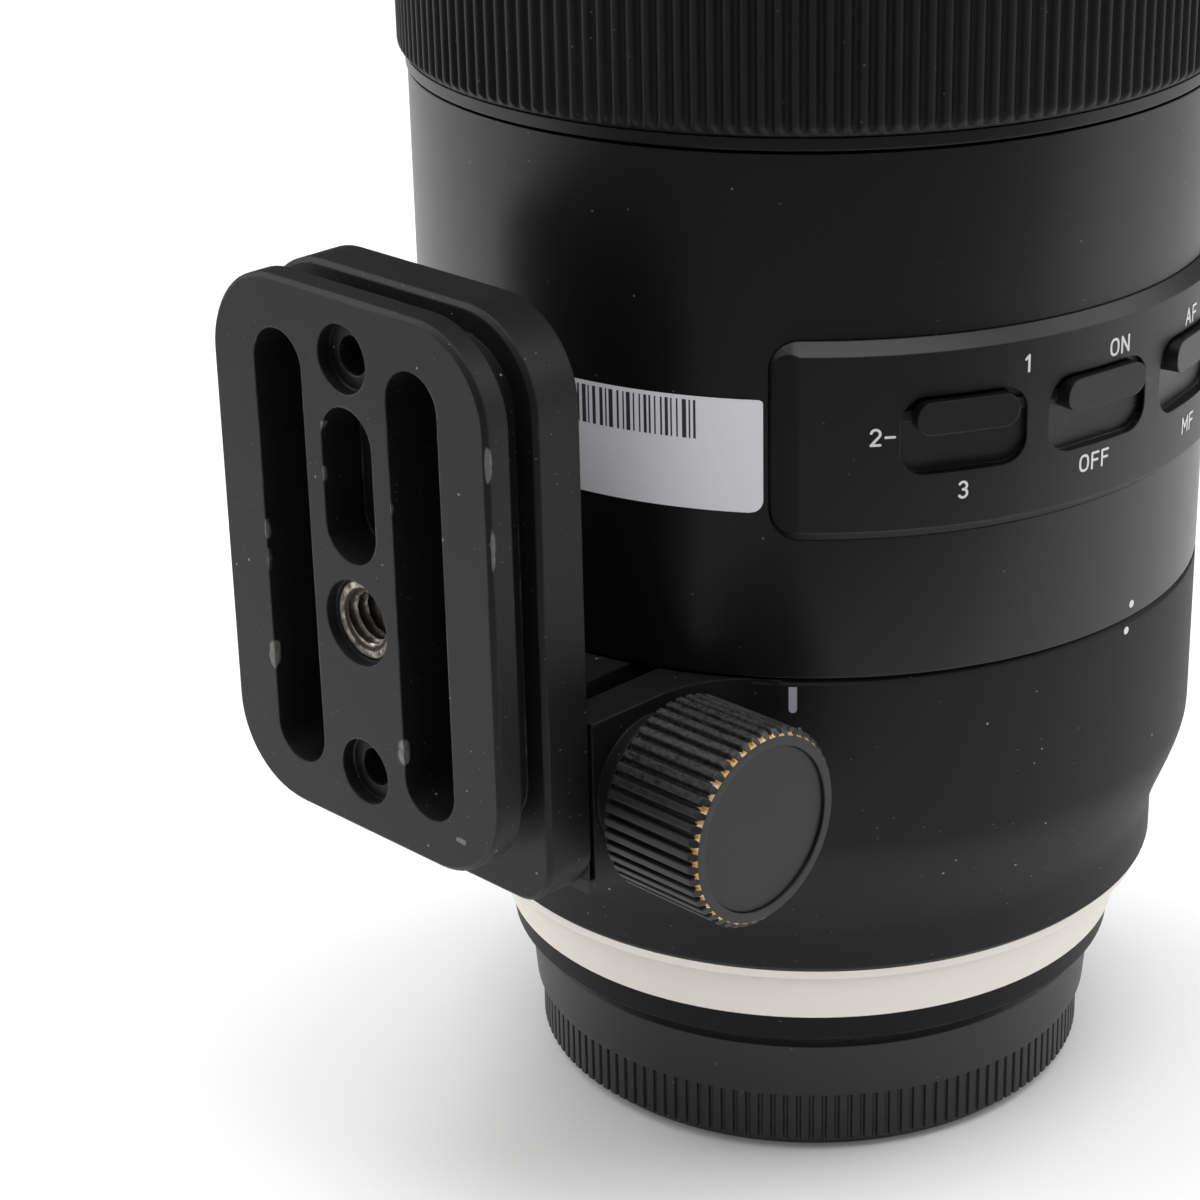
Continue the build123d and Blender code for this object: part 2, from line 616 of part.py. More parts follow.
def panel_blank(r_out, extra):
    """Curved plate with rounded corners, grown by extra all round."""
    side = math.degrees(extra / BARREL_R)
    blank = sector(r_out, BARREL_R - PANEL_SINK, PANEL_Z0 - extra, PANEL_Z1 + extra,
                   PANEL_AZ - PANEL_ARC / 2.0 - side, PANEL_AZ + PANEL_ARC / 2.0 + side)
    corners = [e for e in blank.edges() if e.geom_type == GeomType.LINE and abs((e % 0).Z) < 0.5]
    return fillet(corners, PANEL_CORNER + extra)


def end_bevel(side):
    """Cutter for the wide bevel at one end of the panel: side is -1 or 1."""
    edge = world(PANEL_AZ + side * PANEL_ARC / 2.0)
    foot = Vector(*polar(PANEL_R - PANEL_BEVEL_IN, edge))
    crest = Vector(*polar(PANEL_R, edge - side * math.degrees(PANEL_END_RUN / PANEL_R)))
    along = (crest - foot).normalized() * CUT
    out = along.rotate(Axis.Z, 90.0 * side)
    corners = [foot - along, crest + along * 3, crest + along * 3 + out * 3, foot - along + out * 3]
    wedge = extrude(make_face(Polyline(*corners, close=True)), amount=PANEL_H + 2 * CUT)
    return Pos(0, 0, PANEL_Z0 - CUT) * wedge


def switch_panel():
    """Raised bevelled panel with four sunk switch bays."""
    plate = panel_blank(PANEL_R, 0)
    outer_face = plate.faces().filter_by(GeomType.CYLINDER).sort_by(SortBy.AREA)[-1]
    plate = chamfer(outer_face.edges(), PANEL_BEVEL_OUT, PANEL_BEVEL_IN)
    for side in (-1, 1):
        plate -= end_bevel(side)
    for azimuth in switch_azimuths():
        plate -= radial_block(azimuth, SWITCH_Z, RECESS_W, RECESS_H, RECESS_CORNER,
                              RECESS_FLOOR_R, PANEL_R + CUT)
        plate -= radial_block(azimuth, SWITCH_Z, RECESS_W + 2 * GROOVE_DEPTH,
                              SLIDER_TRAVEL + TONGUE_H + 2 * RUN, TONGUE_CORNER,
                              RECESS_FLOOR_R, RECESS_FLOOR_R + TONGUE_T + 2 * RUN)
    return plate


def switch_slider(azimuth):
    """Rounded thumb bar with a thin tab at each end, held by the bay's grooves."""
    floor_r = RECESS_FLOOR_R + RUN
    bar = radial_block(azimuth, SLIDER_REST_Z, SLIDER_W, SLIDER_H, SLIDER_CORNER, floor_r, SLIDER_R)
    return bar + radial_block(azimuth, SLIDER_REST_Z, RECESS_W + 2 * (GROOVE_DEPTH - RUN), TONGUE_H,
                              TONGUE_CORNER, floor_r, floor_r + TONGUE_T)


# Main barrel with its spigot, the distance window and the label
SHOULDER_H = 1.5
WINDOW_AZ = 180.0
WINDOW_ARC = 34.0
WINDOW_DROP = 8.9      # below the barrel's upper end
WINDOW_H = 8.6
WINDOW_INSET = 0.15
PIN_R = 1.5
KEY_Z_UP = 5.1
WINDOW_Z1 = BARREL_Z1 - WINDOW_DROP
WINDOW_Z0 = WINDOW_Z1 - WINDOW_H
FOCUS_KEY_Z = FOCUS_Z0 + KEY_Z_UP
FOCUS_KEY_AZ = 80.0
SPIGOT_LAP = 1.2
LABEL_AZ0 = -3.0
LABEL_AZ1 = 35.6
LABEL_UP = 17.8
LABEL_H = 11.8
LABEL_T = 0.12
LABEL_LIFT = 0.02
LABEL_Z0 = BARREL_Z0 + LABEL_UP
LABEL_Z1 = LABEL_Z0 + LABEL_H


def key_slot(azimuth, z, turn):
    """Cutter for the slot in a spigot through which a ring's key pin reaches inside."""
    side = PIN_R + AIR
    spread = math.degrees(side / SPIGOT_BORE)
    return sector(SPIGOT_R + CUT, SPIGOT_BORE - CUT, z - side, z + side,
                  azimuth - spread, azimuth + turn + spread)


def main_barrel():
    """Shell with a shoulder and the spigot under the focus ring."""
    body = ring(BARREL_R, BARREL_BORE, BARREL_Z0, BARREL_Z1)
    body += ring(BARREL_R, SPIGOT_BORE, BARREL_Z1 - SHOULDER_H, BARREL_Z1)
    body += ring(SPIGOT_R, SPIGOT_BORE, BARREL_Z1 - FIT, BAND_Z0 + SPIGOT_LAP)
    body -= key_slot(FOCUS_KEY_AZ, FOCUS_KEY_Z, FOCUS_TURN)
    body -= panel_blank(PANEL_R, RUN)
    body -= sector(BARREL_R + CUT, BARREL_BORE - CUT, WINDOW_Z0, WINDOW_Z1,
                   WINDOW_AZ - WINDOW_ARC / 2.0, WINDOW_AZ + WINDOW_ARC / 2.0)
    return body


def distance_window():
    """Clear curved pane over the distance scale."""
    side = math.degrees(FIT / BARREL_R)
    return sector(BARREL_R - WINDOW_INSET, BARREL_BORE + FIT, WINDOW_Z0 + FIT, WINDOW_Z1 - FIT,
                  WINDOW_AZ - WINDOW_ARC / 2.0 + side, WINDOW_AZ + WINDOW_ARC / 2.0 - side)


def stock_label():
    """Thin paper label on the barrel."""
    r = BARREL_R + LABEL_LIFT
    return sector(r + LABEL_T, r, LABEL_Z0, LABEL_Z1, LABEL_AZ0, LABEL_AZ1)


# Straight-guide sleeve and the pins that run in its slots
PIN_SLOT_W = 2 * (PIN_R + 0.5 * AIR)
VARIATOR_DROP = 9.4    # below the sleeve's upper end
SLEEVE_LAP = 2.0
COMPENSATOR_DROP = 27.0
SLEEVE_Z1 = FRONT_Z0 + SLEEVE_LAP
VARIATOR_Z = SLEEVE_Z1 - VARIATOR_DROP
COMPENSATOR_Z = VARIATOR_Z - COMPENSATOR_DROP
FOCUS_PIN_UP = 20.1
FOCUS_CELL_Z = FOCUS_Z0 + FOCUS_PIN_UP
VARIATOR_AZS = (0.0, 180.0)
COMPENSATOR_AZS = (90.0, 270.0)
FOCUS_AZS = (45.0, 225.0)
MOTOR_SHELF_UP = 16.8  # above the barrel's lower end
MOTOR_SHELF_H = 1.8
MOTOR_SHELF_R = 39.4
MOTOR_SHELF_Z = BARREL_Z0 + MOTOR_SHELF_UP


def fixed_sleeve():
    """Long tube with straight slots that keep the lens cells from turning."""
    body = ring(SLEEVE_R, SLEEVE_BORE, SLEEVE_Z0, SLEEVE_Z1)
    body += ring(MOTOR_SHELF_R, SLEEVE_BORE, MOTOR_SHELF_Z, MOTOR_SHELF_Z + MOTOR_SHELF_H)
    for places, z, drop in ((VARIATOR_AZS, VARIATOR_Z, VARIATOR_TRAVEL),
                            (COMPENSATOR_AZS, COMPENSATOR_Z, COMPENSATOR_TRAVEL),
                            (FOCUS_AZS, FOCUS_CELL_Z, FOCUS_TRAVEL)):
        for azimuth in places:
            body -= straight_slot(SLEEVE_BORE - CUT, SLEEVE_R + CUT, azimuth, z, drop, PIN_SLOT_W)
    return body


# Ring motor and circuit board
MOTOR_R = 40.7
STATOR_H = 6.0
ROTOR_H = 5.7
MOTOR_GAP = 0.1
STATOR_Z0 = MOTOR_SHELF_Z + MOTOR_SHELF_H + FIT
ROTOR_Z0 = STATOR_Z0 + STATOR_H + MOTOR_GAP
ROTOR_Z1 = ROTOR_Z0 + ROTOR_H
STATOR_SLITS = 36
STATOR_SLIT_D = 1.2
STATOR_SLIT_ARC = 1.5
BOARD_T = 1.4
BOARD_R = 41.2
BOARD_ARC = 90.0
BOARD_H = 13.0


def motor_stator():
    """Vibrating ring with radial slits in its upper face."""
    body = ring(MOTOR_R, SLEEVE_R + FIT, STATOR_Z0, STATOR_Z0 + STATOR_H)
    top = STATOR_Z0 + STATOR_H
    for i in range(STATOR_SLITS):
        start = i * 360.0 / STATOR_SLITS
        body -= sector(MOTOR_R + CUT, SLEEVE_R - CUT, top - STATOR_SLIT_D, top + CUT,
                       start, start + STATOR_SLIT_ARC)
    return body


def motor_rotor():
    """Ring that the stator drives by friction."""
    return ring(MOTOR_R, CAM_BORE, ROTOR_Z0, ROTOR_Z1)


def circuit_board():
    """Curved board behind the switches, on the deck."""
    z0 = SLEEVE_Z0 + FIT
    return sector(BOARD_R, BOARD_R - BOARD_T, z0, z0 + BOARD_H,
                  PANEL_AZ - BOARD_ARC / 2.0, PANEL_AZ + BOARD_ARC / 2.0)


# Focus ring, its grip, the roller carrier and the focus cell
LIP_H = 1.2
GRIP_BASE_R = 43.4
GRIP_EDGE = 0.9
GRIP_RIBS = 172
GRIP_LAND_SHARE = 0.5
ROLLER_R = 1.4
ROLLER_COUNT = 3
DRUM_R = 41.4
DRUM_WALL = 0.5
DRUM_LAP = 0.9
CAM_WALL = 1.0
DRIVE_BORE = 38.35
DRIVE_WALL = 0.85
DRIVE_FLANGE_R = 40.6
DRIVE_FLANGE_H = 1.5
DRIVE_TOP = 2.0
ROLLER_Z = ROTOR_Z1 + MOTOR_GAP + ROLLER_R
DRIVE_Z0 = ROLLER_Z + ROLLER_R + MOTOR_GAP
FOCUS_CAM_Z0 = ROTOR_Z1 + MOTOR_GAP
FOCUS_CAM_Z1 = FOCUS_Z1 - RING_SEAM


def grip(z0, z1):
    """Rubber sleeve with fine straight ribs between two plain edges."""
    bore_r = RING_CORE_R + FIT
    band = fluted(GRIP_BASE_R - FIT, GRIP_R, GRIP_RIBS, GRIP_LAND_SHARE) - Circle(bore_r)
    ribs = extrude(band, amount=z1 - z0 - 2 * GRIP_EDGE)
    return ring(GRIP_BASE_R, bore_r, z0, z1) + Pos(0, 0, z0 + GRIP_EDGE) * ribs


def ring_shell(z0, z1, z_grip0, z_grip1):
    """Turning ring: bore on the spigot, seat for the grip and a lip at each end."""
    body = ring(RING_CORE_R, RING_BORE, z0, z1)
    body += ring(LIP_R, RING_BORE, z0, z_grip0)
    body += ring(LIP_R, RING_BORE, z_grip1, z1)
    return body


FOCUS_GRIP_Z0 = FOCUS_Z0 + LIP_H
FOCUS_GRIP_Z1 = FOCUS_Z1 - LIP_H


def focus_ring():
    """Manual focus ring with its key pin and the drive tube that presses on the rollers."""
    body = ring_shell(FOCUS_Z0, FOCUS_Z1, FOCUS_GRIP_Z0, FOCUS_GRIP_Z1)
    drive_r = DRIVE_BORE + DRIVE_WALL
    body += ring(drive_r, DRIVE_BORE, DRIVE_Z0, FOCUS_KEY_Z + DRIVE_TOP)
    body += ring(DRIVE_FLANGE_R, DRIVE_BORE, DRIVE_Z0, DRIVE_Z0 + DRIVE_FLANGE_H)
    body += radial_pin(FOCUS_KEY_AZ, FOCUS_KEY_Z, drive_r - DRIVE_WALL / 2.0, RING_BORE + FIT, PIN_R)
    return body


def focus_cam():
    """Roller carrier: cam tube, three rollers on stubs and the distance scale drum."""
    tube_r = CAM_BORE + CAM_WALL
    body = ring(tube_r, CAM_BORE, FOCUS_CAM_Z0, FOCUS_CAM_Z1)
    for azimuth in FOCUS_AZS:
        body -= helical_slot(CAM_BORE - CUT, tube_r + CUT, azimuth, FOCUS_CELL_Z,
                             FOCUS_TURN * FOCUS_RATIO, FOCUS_TRAVEL, PIN_SLOT_W)
    body += ring(DRUM_R, DRUM_R - DRUM_WALL, FOCUS_CAM_Z0, WINDOW_Z1 + DRUM_LAP)
    root_r = CAM_BORE + CAM_WALL / 2.0
    tip_r = DRUM_R - DRUM_WALL / 2.0
    for i in range(ROLLER_COUNT):
        body += radial_pin(i * 360.0 / ROLLER_COUNT, ROLLER_Z, root_r, tip_r, ROLLER_R)
    return body


# Lens cells and their glass
CELL_WALL = 1.8
CELL_HALF_H = 4.0
CELL_WEB_H = 2.4
GLASS_R = 26.0
PIN_END_GAP = 0.1
GLASS_GAP = 0.6


def cell(z, glass_r, azimuths, pin_r1):
    """Moving lens cell: outer ring, web with the glass seat and two follower pins."""
    body = ring(CELL_R, CELL_R - CELL_WALL, z - CELL_HALF_H, z + CELL_HALF_H)
    body += ring(CELL_R - CELL_WALL / 2.0, glass_r + FIT, z - CELL_WEB_H / 2.0, z + CELL_WEB_H / 2.0)
    body += ring(glass_r + CELL_WALL, glass_r + FIT, z - CELL_HALF_H, z + CELL_HALF_H)
    for azimuth in azimuths:
        body += radial_pin(azimuth, z, CELL_R - CELL_WALL / 2.0, pin_r1, PIN_R)
    return body


def doublet(z, glass_r, bulge):
    """Two lens elements, one above the other in a cell."""
    low = lens(glass_r, z - CELL_HALF_H + GLASS_GAP, z - GLASS_GAP, -bulge / 2.0, -bulge / 3.0)
    high = lens(glass_r, z + GLASS_GAP, z + CELL_HALF_H - GLASS_GAP, 0, bulge)
    return Compound(children=[low, high])


VARIATOR_BULGE = 1.6
FOCUS_BULGE = 2.0
ZOOM_CAM_WALL = 1.4
ZOOM_CAM_LAP = 0.9
ZOOM_CAM_R = CAM_BORE + ZOOM_CAM_WALL
ZOOM_CAM_Z0 = FOCUS_CAM_Z1 + 2 * ZOOM_CAM_LAP
ZOOM_CAM_Z1 = ZOOM_Z1 - ZOOM_CAM_LAP
ZOOM_KEY_AZ = 98.0
ZOOM_KEY_UP = 26.6
ZOOM_KEY_Z = ZOOM_Z0 + ZOOM_KEY_UP
KEY_TIP_R = CAM_BORE + PIN_END_GAP


def zoom_cam():
    """Cam tube with two slots for each zooming cell and a hole for the zoom ring's key."""
    body = ring(ZOOM_CAM_R, CAM_BORE, ZOOM_CAM_Z0, ZOOM_CAM_Z1)
    for places, z, drop in ((VARIATOR_AZS, VARIATOR_Z, VARIATOR_TRAVEL),
                            (COMPENSATOR_AZS, COMPENSATOR_Z, COMPENSATOR_TRAVEL)):
        for azimuth in places:
            body -= helical_slot(CAM_BORE - CUT, ZOOM_CAM_R + CUT, azimuth, z, ZOOM_TURN, drop, PIN_SLOT_W)
    body -= radial_pin(ZOOM_KEY_AZ, ZOOM_KEY_Z, CAM_BORE - CUT, ZOOM_CAM_R + CUT, PIN_R + FIT)
    return body


ZOOM_LIP_H = 3.6
ZOOM_GRIP_Z0 = ZOOM_Z0 + ZOOM_LIP_H
ZOOM_GRIP_Z1 = ZOOM_Z1 - ZOOM_LIP_H / 2.0


def zoom_ring():
    """Zoom ring with the key pin that turns the cam tube."""
    body = ring_shell(ZOOM_Z0, ZOOM_Z1, ZOOM_GRIP_Z0, ZOOM_GRIP_Z1)
    return body + radial_pin(ZOOM_KEY_AZ, ZOOM_KEY_Z, KEY_TIP_R, RING_BORE + FIT, PIN_R)


def scale_band():
    """Fixed band between the rings, with the spigot that the zoom ring runs on."""
    seat_r = SPIGOT_R + FIT
    seat_z = BAND_Z0 + SPIGOT_LAP + FIT
    end_z = ZOOM_Z1 + FIT
    body = turned([(BARREL_R, BAND_Z0), (BARREL_R, BAND_Z1), (SPIGOT_R, BAND_Z1), (SPIGOT_R, end_z),
                   (SPIGOT_BORE, end_z), (SPIGOT_BORE, seat_z), (seat_r, seat_z), (seat_r, BAND_Z0)])
    return body - key_slot(ZOOM_KEY_AZ, ZOOM_KEY_Z, ZOOM_TURN)


# Front barrel with the filter thread and hood bayonet, and the front group
FRONT_R = 42.5
HOOD_SEAT_R = 41.6
HOOD_SEAT_UP = 4.6
HOOD_LUG_UP = 10.6
HOOD_LUG_H = 2.0
HOOD_LUG_ARC = 40.0
HOOD_LUGS = 3
FRONT_DECK_H = 3.0
FILTER_R = 38.1        # minor radius of an M77 x 0.75 thread
FILTER_L = 5.0
FRONT_BORE_R = 37.6
FRONT_CELL_WALL = 1.5
FRONT_CELL_H = 5.0
TRIM_H = 1.9
TRIM_BORE = 34.4
FRONT_GLASS_R = 36.0
FRONT_BULGE = 1.7
SECOND_GLASS_R = 33.0
FRONT_DECK_Z = FRONT_Z0 + FRONT_DECK_H
FRONT_CELL_Z0 = FRONT_DECK_Z + FIT
TRIM_Z0 = FRONT_CELL_Z0 + FRONT_CELL_H + FIT


def front_barrel():
    """Front rim: deck on the sleeve, filter bore and hood bayonet lugs."""
    body = turned([(SLEEVE_R + FIT, FRONT_Z0), (FRONT_R, FRONT_Z0), (FRONT_R, FRONT_Z0 + HOOD_SEAT_UP),
                   (HOOD_SEAT_R, FRONT_Z0 + HOOD_SEAT_UP), (HOOD_SEAT_R, FRONT_Z1), (FILTER_R, FRONT_Z1),
                   (FILTER_R, FRONT_Z1 - FILTER_L), (FRONT_BORE_R, FRONT_Z1 - FILTER_L),
                   (FRONT_BORE_R, FRONT_DECK_Z), (SLEEVE_R + FIT, FRONT_DECK_Z)])
    for i in range(HOOD_LUGS):
        start = i * 360.0 / HOOD_LUGS
        z0 = FRONT_Z0 + HOOD_LUG_UP
        body += sector(FRONT_R, HOOD_SEAT_R - FIT, z0, z0 + HOOD_LUG_H, start, start + HOOD_LUG_ARC)
    return body


def front_cell():
    """Ring that seats the front elements on the deck."""
    r = FRONT_BORE_R - FIT
    body = ring(r, r - FRONT_CELL_WALL, FRONT_CELL_Z0, FRONT_CELL_Z0 + FRONT_CELL_H)
    return body + ring(r, SECOND_GLASS_R + FIT, FRONT_CELL_Z0, FRONT_CELL_Z0 + FRONT_CELL_H / 2.0)


def front_glass():
    """Front element and the one behind it."""
    middle = FRONT_CELL_Z0 + FRONT_CELL_H / 2.0
    high = lens(FRONT_GLASS_R, middle + FIT, TRIM_Z0 - AIR, 0, FRONT_BULGE)
    low = lens(SECOND_GLASS_R, FRONT_CELL_Z0, middle - GLASS_GAP, FRONT_BULGE, 0)
    return Compound(children=[low, high])


def front_trim_ring():
    """Retaining ring inside the filter thread."""
    r = FRONT_BORE_R - FIT
    return turned([(TRIM_BORE, TRIM_Z0 + TRIM_H / 2.0), (TRIM_BORE, TRIM_Z0), (r, TRIM_Z0),
                   (r, TRIM_Z0 + TRIM_H), (TRIM_BORE + TRIM_H, TRIM_Z0 + TRIM_H)])


# Rear group
REAR_CELL_R = 23.5
REAR_CELL_WALL = 1.8
REAR_CELL_H = 28.0
REAR_FLANGE_H = 2.0
REAR_GLASS_H = 3.4
REAR_BULGE = 1.5
REAR_SECOND_UP = 20.0
REAR_CELL_Z0 = CONTACT_Z0 + CONTACT_H + AIR
REAR_FLANGE_Z0 = BAYONET_Z1 + BASE_FLANGE_H + FIT


def rear_cell():
    """Tube for the rear elements, flanged onto the rear barrel."""
    bore = REAR_CELL_R - REAR_CELL_WALL
    body = ring(REAR_CELL_R, bore, REAR_CELL_Z0, REAR_CELL_Z0 + REAR_CELL_H)
    flange_r = MOUNT_CORE_R - REAR_BARREL_WALL - FIT
    root_r = REAR_CELL_R - REAR_CELL_WALL / 2.0
    return body + ring(flange_r, root_r, REAR_FLANGE_Z0, REAR_FLANGE_Z0 + REAR_FLANGE_H)


def rear_glass():
    """Two rear elements."""
    r = REAR_CELL_R - REAR_CELL_WALL - FIT
    z0 = REAR_CELL_Z0 + REAR_BULGE
    z1 = z0 + REAR_SECOND_UP
    return Compound(children=[lens(r, z0, z0 + REAR_GLASS_H, REAR_BULGE, 0),
                              lens(r, z1, z1 + REAR_GLASS_H, 0, REAR_BULGE)])


# Relay barrel with the iris and the stabiliser
RELAY_WALL = 1.7
RELAY_UP = 20.6        # above the barrel's lower end
RELAY_H = 31.0
IRIS_FLOOR_UP = 26.0
IRIS_FLOOR_H = 1.2
APERTURE_R = 18.0
SHAKE_FLOOR_UP = 4.0
SHAKE_FLOOR_H = 1.5
SHAKE_BORE = 16.0
BLADE_COUNT = 9
BLADE_T = 0.12
BLADE_STEP = 0.17
BLADE_IN_R = 18.4
BLADE_OUT_R = 28.8
BLADE_ARC = 76.0
BLADE_PIVOT_R = 31.4
BLADE_PIN_R = 0.6
BLADE_EAR_R = 1.2
BLADE_DRIVE_R = 30.6
BLADE_DRIVE_ARC = 6.0
BLADE_SWING = 32.0
IRIS_TURN = 24.0
IRIS_RING_H = 1.2
BLADE_LIFT = 0.2
RELAY_Z0 = BARREL_Z0 + RELAY_UP
RELAY_R = CELL_R
RELAY_BORE = RELAY_R - RELAY_WALL
IRIS_FLOOR_Z = RELAY_Z0 + IRIS_FLOOR_UP
BLADE_Z = IRIS_FLOOR_Z + IRIS_FLOOR_H + BLADE_LIFT
IRIS_RING_Z = BLADE_Z + BLADE_COUNT * BLADE_STEP + BLADE_LIFT


def blade_angles():
    """Angles of the nine blade pivots."""
    return [i * 360.0 / BLADE_COUNT for i in range(BLADE_COUNT)]


def relay_barrel():
    """Tube in the sleeve with one floor under the iris and one under the stabiliser."""
    body = ring(RELAY_R, RELAY_BORE, RELAY_Z0, RELAY_Z0 + RELAY_H)
    iris_floor_top = IRIS_FLOOR_Z + IRIS_FLOOR_H
    body += ring(RELAY_BORE + FIT, APERTURE_R, IRIS_FLOOR_Z, iris_floor_top)
    floor_z = RELAY_Z0 + SHAKE_FLOOR_UP
    body += ring(RELAY_BORE + FIT, SHAKE_BORE, floor_z, floor_z + SHAKE_FLOOR_H)
    for angle in blade_angles():
        x, y = polar(BLADE_PIVOT_R, angle)
        body -= Pos(x, y, 0) * disc(BLADE_PIN_R + RUN, IRIS_FLOOR_Z - CUT, iris_floor_top + CUT)
    return body


def iris_blade(index):
    """Curved leaf with a pivot pin below and a drive pin above, each leaf on its own level."""
    z = BLADE_Z + index * BLADE_STEP
    half = BLADE_ARC / 2.0
    inner = ThreePointArc(polar(BLADE_IN_R, 0), polar(BLADE_IN_R, half), polar(BLADE_IN_R, BLADE_ARC))
    outer = ThreePointArc(polar(BLADE_OUT_R, BLADE_ARC), polar(BLADE_OUT_R, half), polar(BLADE_OUT_R, 0))
    leaf = make_face(inner + Line(inner @ 1, outer @ 0) + outer + Line(outer @ 1, inner @ 0))
    ears = ((BLADE_PIVOT_R, 0.0), (BLADE_DRIVE_R, BLADE_DRIVE_ARC))
    for r, turn in ears:
        x, y = polar(r, turn)
        leaf += Pos(x, y) * Circle(BLADE_EAR_R)
    root_r = BLADE_OUT_R - BLADE_EAR_R
    pins = (polar(BLADE_PIVOT_R, 0), polar(BLADE_DRIVE_R, BLADE_DRIVE_ARC))
    leaf += make_face(Polyline(polar(root_r, 0), *pins, polar(root_r, BLADE_DRIVE_ARC), close=True))
    body = Pos(0, 0, z) * extrude(leaf, amount=BLADE_T)
    x, y = polar(BLADE_PIVOT_R, 0)
    body += Pos(x, y, 0) * disc(BLADE_PIN_R, IRIS_FLOOR_Z + BLADE_LIFT, z + BLADE_T)
    x, y = polar(BLADE_DRIVE_R, BLADE_DRIVE_ARC)
    body += Pos(x, y, 0) * disc(BLADE_PIN_R, z, IRIS_RING_Z + IRIS_RING_H - BLADE_LIFT)
    return Rot(0, 0, blade_angles()[index]) * body


def drive_point(share):
    """Where a blade's drive pin lies in the actuator ring's frame, at a share of its turn."""
    pivot = Vector(*polar(BLADE_PIVOT_R, 0))
    arm = Vector(*polar(BLADE_DRIVE_R, BLADE_DRIVE_ARC)) - pivot
    place = pivot + arm.rotate(Axis.Z, BLADE_SWING * share)
    return place.rotate(Axis.Z, -IRIS_TURN * share)


def iris_ring():
    """Actuator ring whose curved slots swing the blades."""
    body = ring(RELAY_BORE - RUN, APERTURE_R, IRIS_RING_Z, IRIS_RING_Z + IRIS_RING_H)
    arc = ThreePointArc(drive_point(0), drive_point(0.5), drive_point(1.0))
    slot = extrude(SlotArc(arc, 2 * (BLADE_PIN_R + RUN)), amount=IRIS_RING_H + 2 * CUT)
    for angle in blade_angles():
        body -= Rot(0, 0, angle) * Pos(0, 0, IRIS_RING_Z - CUT) * slot
    return body


SHAKE_PLATE_R = 29.0
SHAKE_PLATE_H = 2.0
SHAKE_PLATE_BORE = 17.5
SHAKE_CELL_R = 22.0
SHAKE_GLASS_R = 15.0
SHAKE_CELL_H = 7.0
SHAKE_LIFT = 0.2
SHAKE_PLATE_Z = RELAY_Z0 + SHAKE_FLOOR_UP + SHAKE_FLOOR_H + SHAKE_LIFT
SHAKE_CELL_Z = SHAKE_PLATE_Z + SHAKE_PLATE_H + SHAKE_LIFT
SHAKE_RAIL_W = 3.0
SHAKE_RAIL_H = 1.2


def stabiliser_carriage():
    """Flat plate that slides along X, with two rails for the cell."""
    body = ring(SHAKE_PLATE_R, SHAKE_PLATE_BORE, SHAKE_PLATE_Z, SHAKE_PLATE_Z + SHAKE_PLATE_H)
    rail = extrude(Rectangle(SHAKE_RAIL_W, SHAKE_CELL_R), amount=SHAKE_LIFT + SHAKE_RAIL_H)
    for side in (-1, 1):
        x = side * (SHAKE_CELL_R + RUN + SHAKE_RAIL_W / 2.0)
        body += Pos(x, 0, SHAKE_PLATE_Z + SHAKE_PLATE_H - FIT) * rail
    return body


def stabiliser_cell():
    """Cell that slides along Y between the carriage's rails."""
    seat_r = SHAKE_GLASS_R + FIT
    rim_r = SHAKE_GLASS_R + CELL_WALL
    base = Rectangle(2 * SHAKE_CELL_R, SHAKE_CELL_R) + Circle(rim_r) - Circle(seat_r)
    body = ring(rim_r, seat_r, SHAKE_CELL_Z, SHAKE_CELL_Z + SHAKE_CELL_H)
    return body + Pos(0, 0, SHAKE_CELL_Z) * extrude(base, amount=SHAKE_RAIL_H)


def stabiliser_glass():
    """Floating element of the stabiliser."""
    top = SHAKE_CELL_Z + SHAKE_CELL_H - 2 * GLASS_GAP
    return lens(SHAKE_GLASS_R, SHAKE_CELL_Z + GLASS_GAP, top, 0, GLASS_GAP)


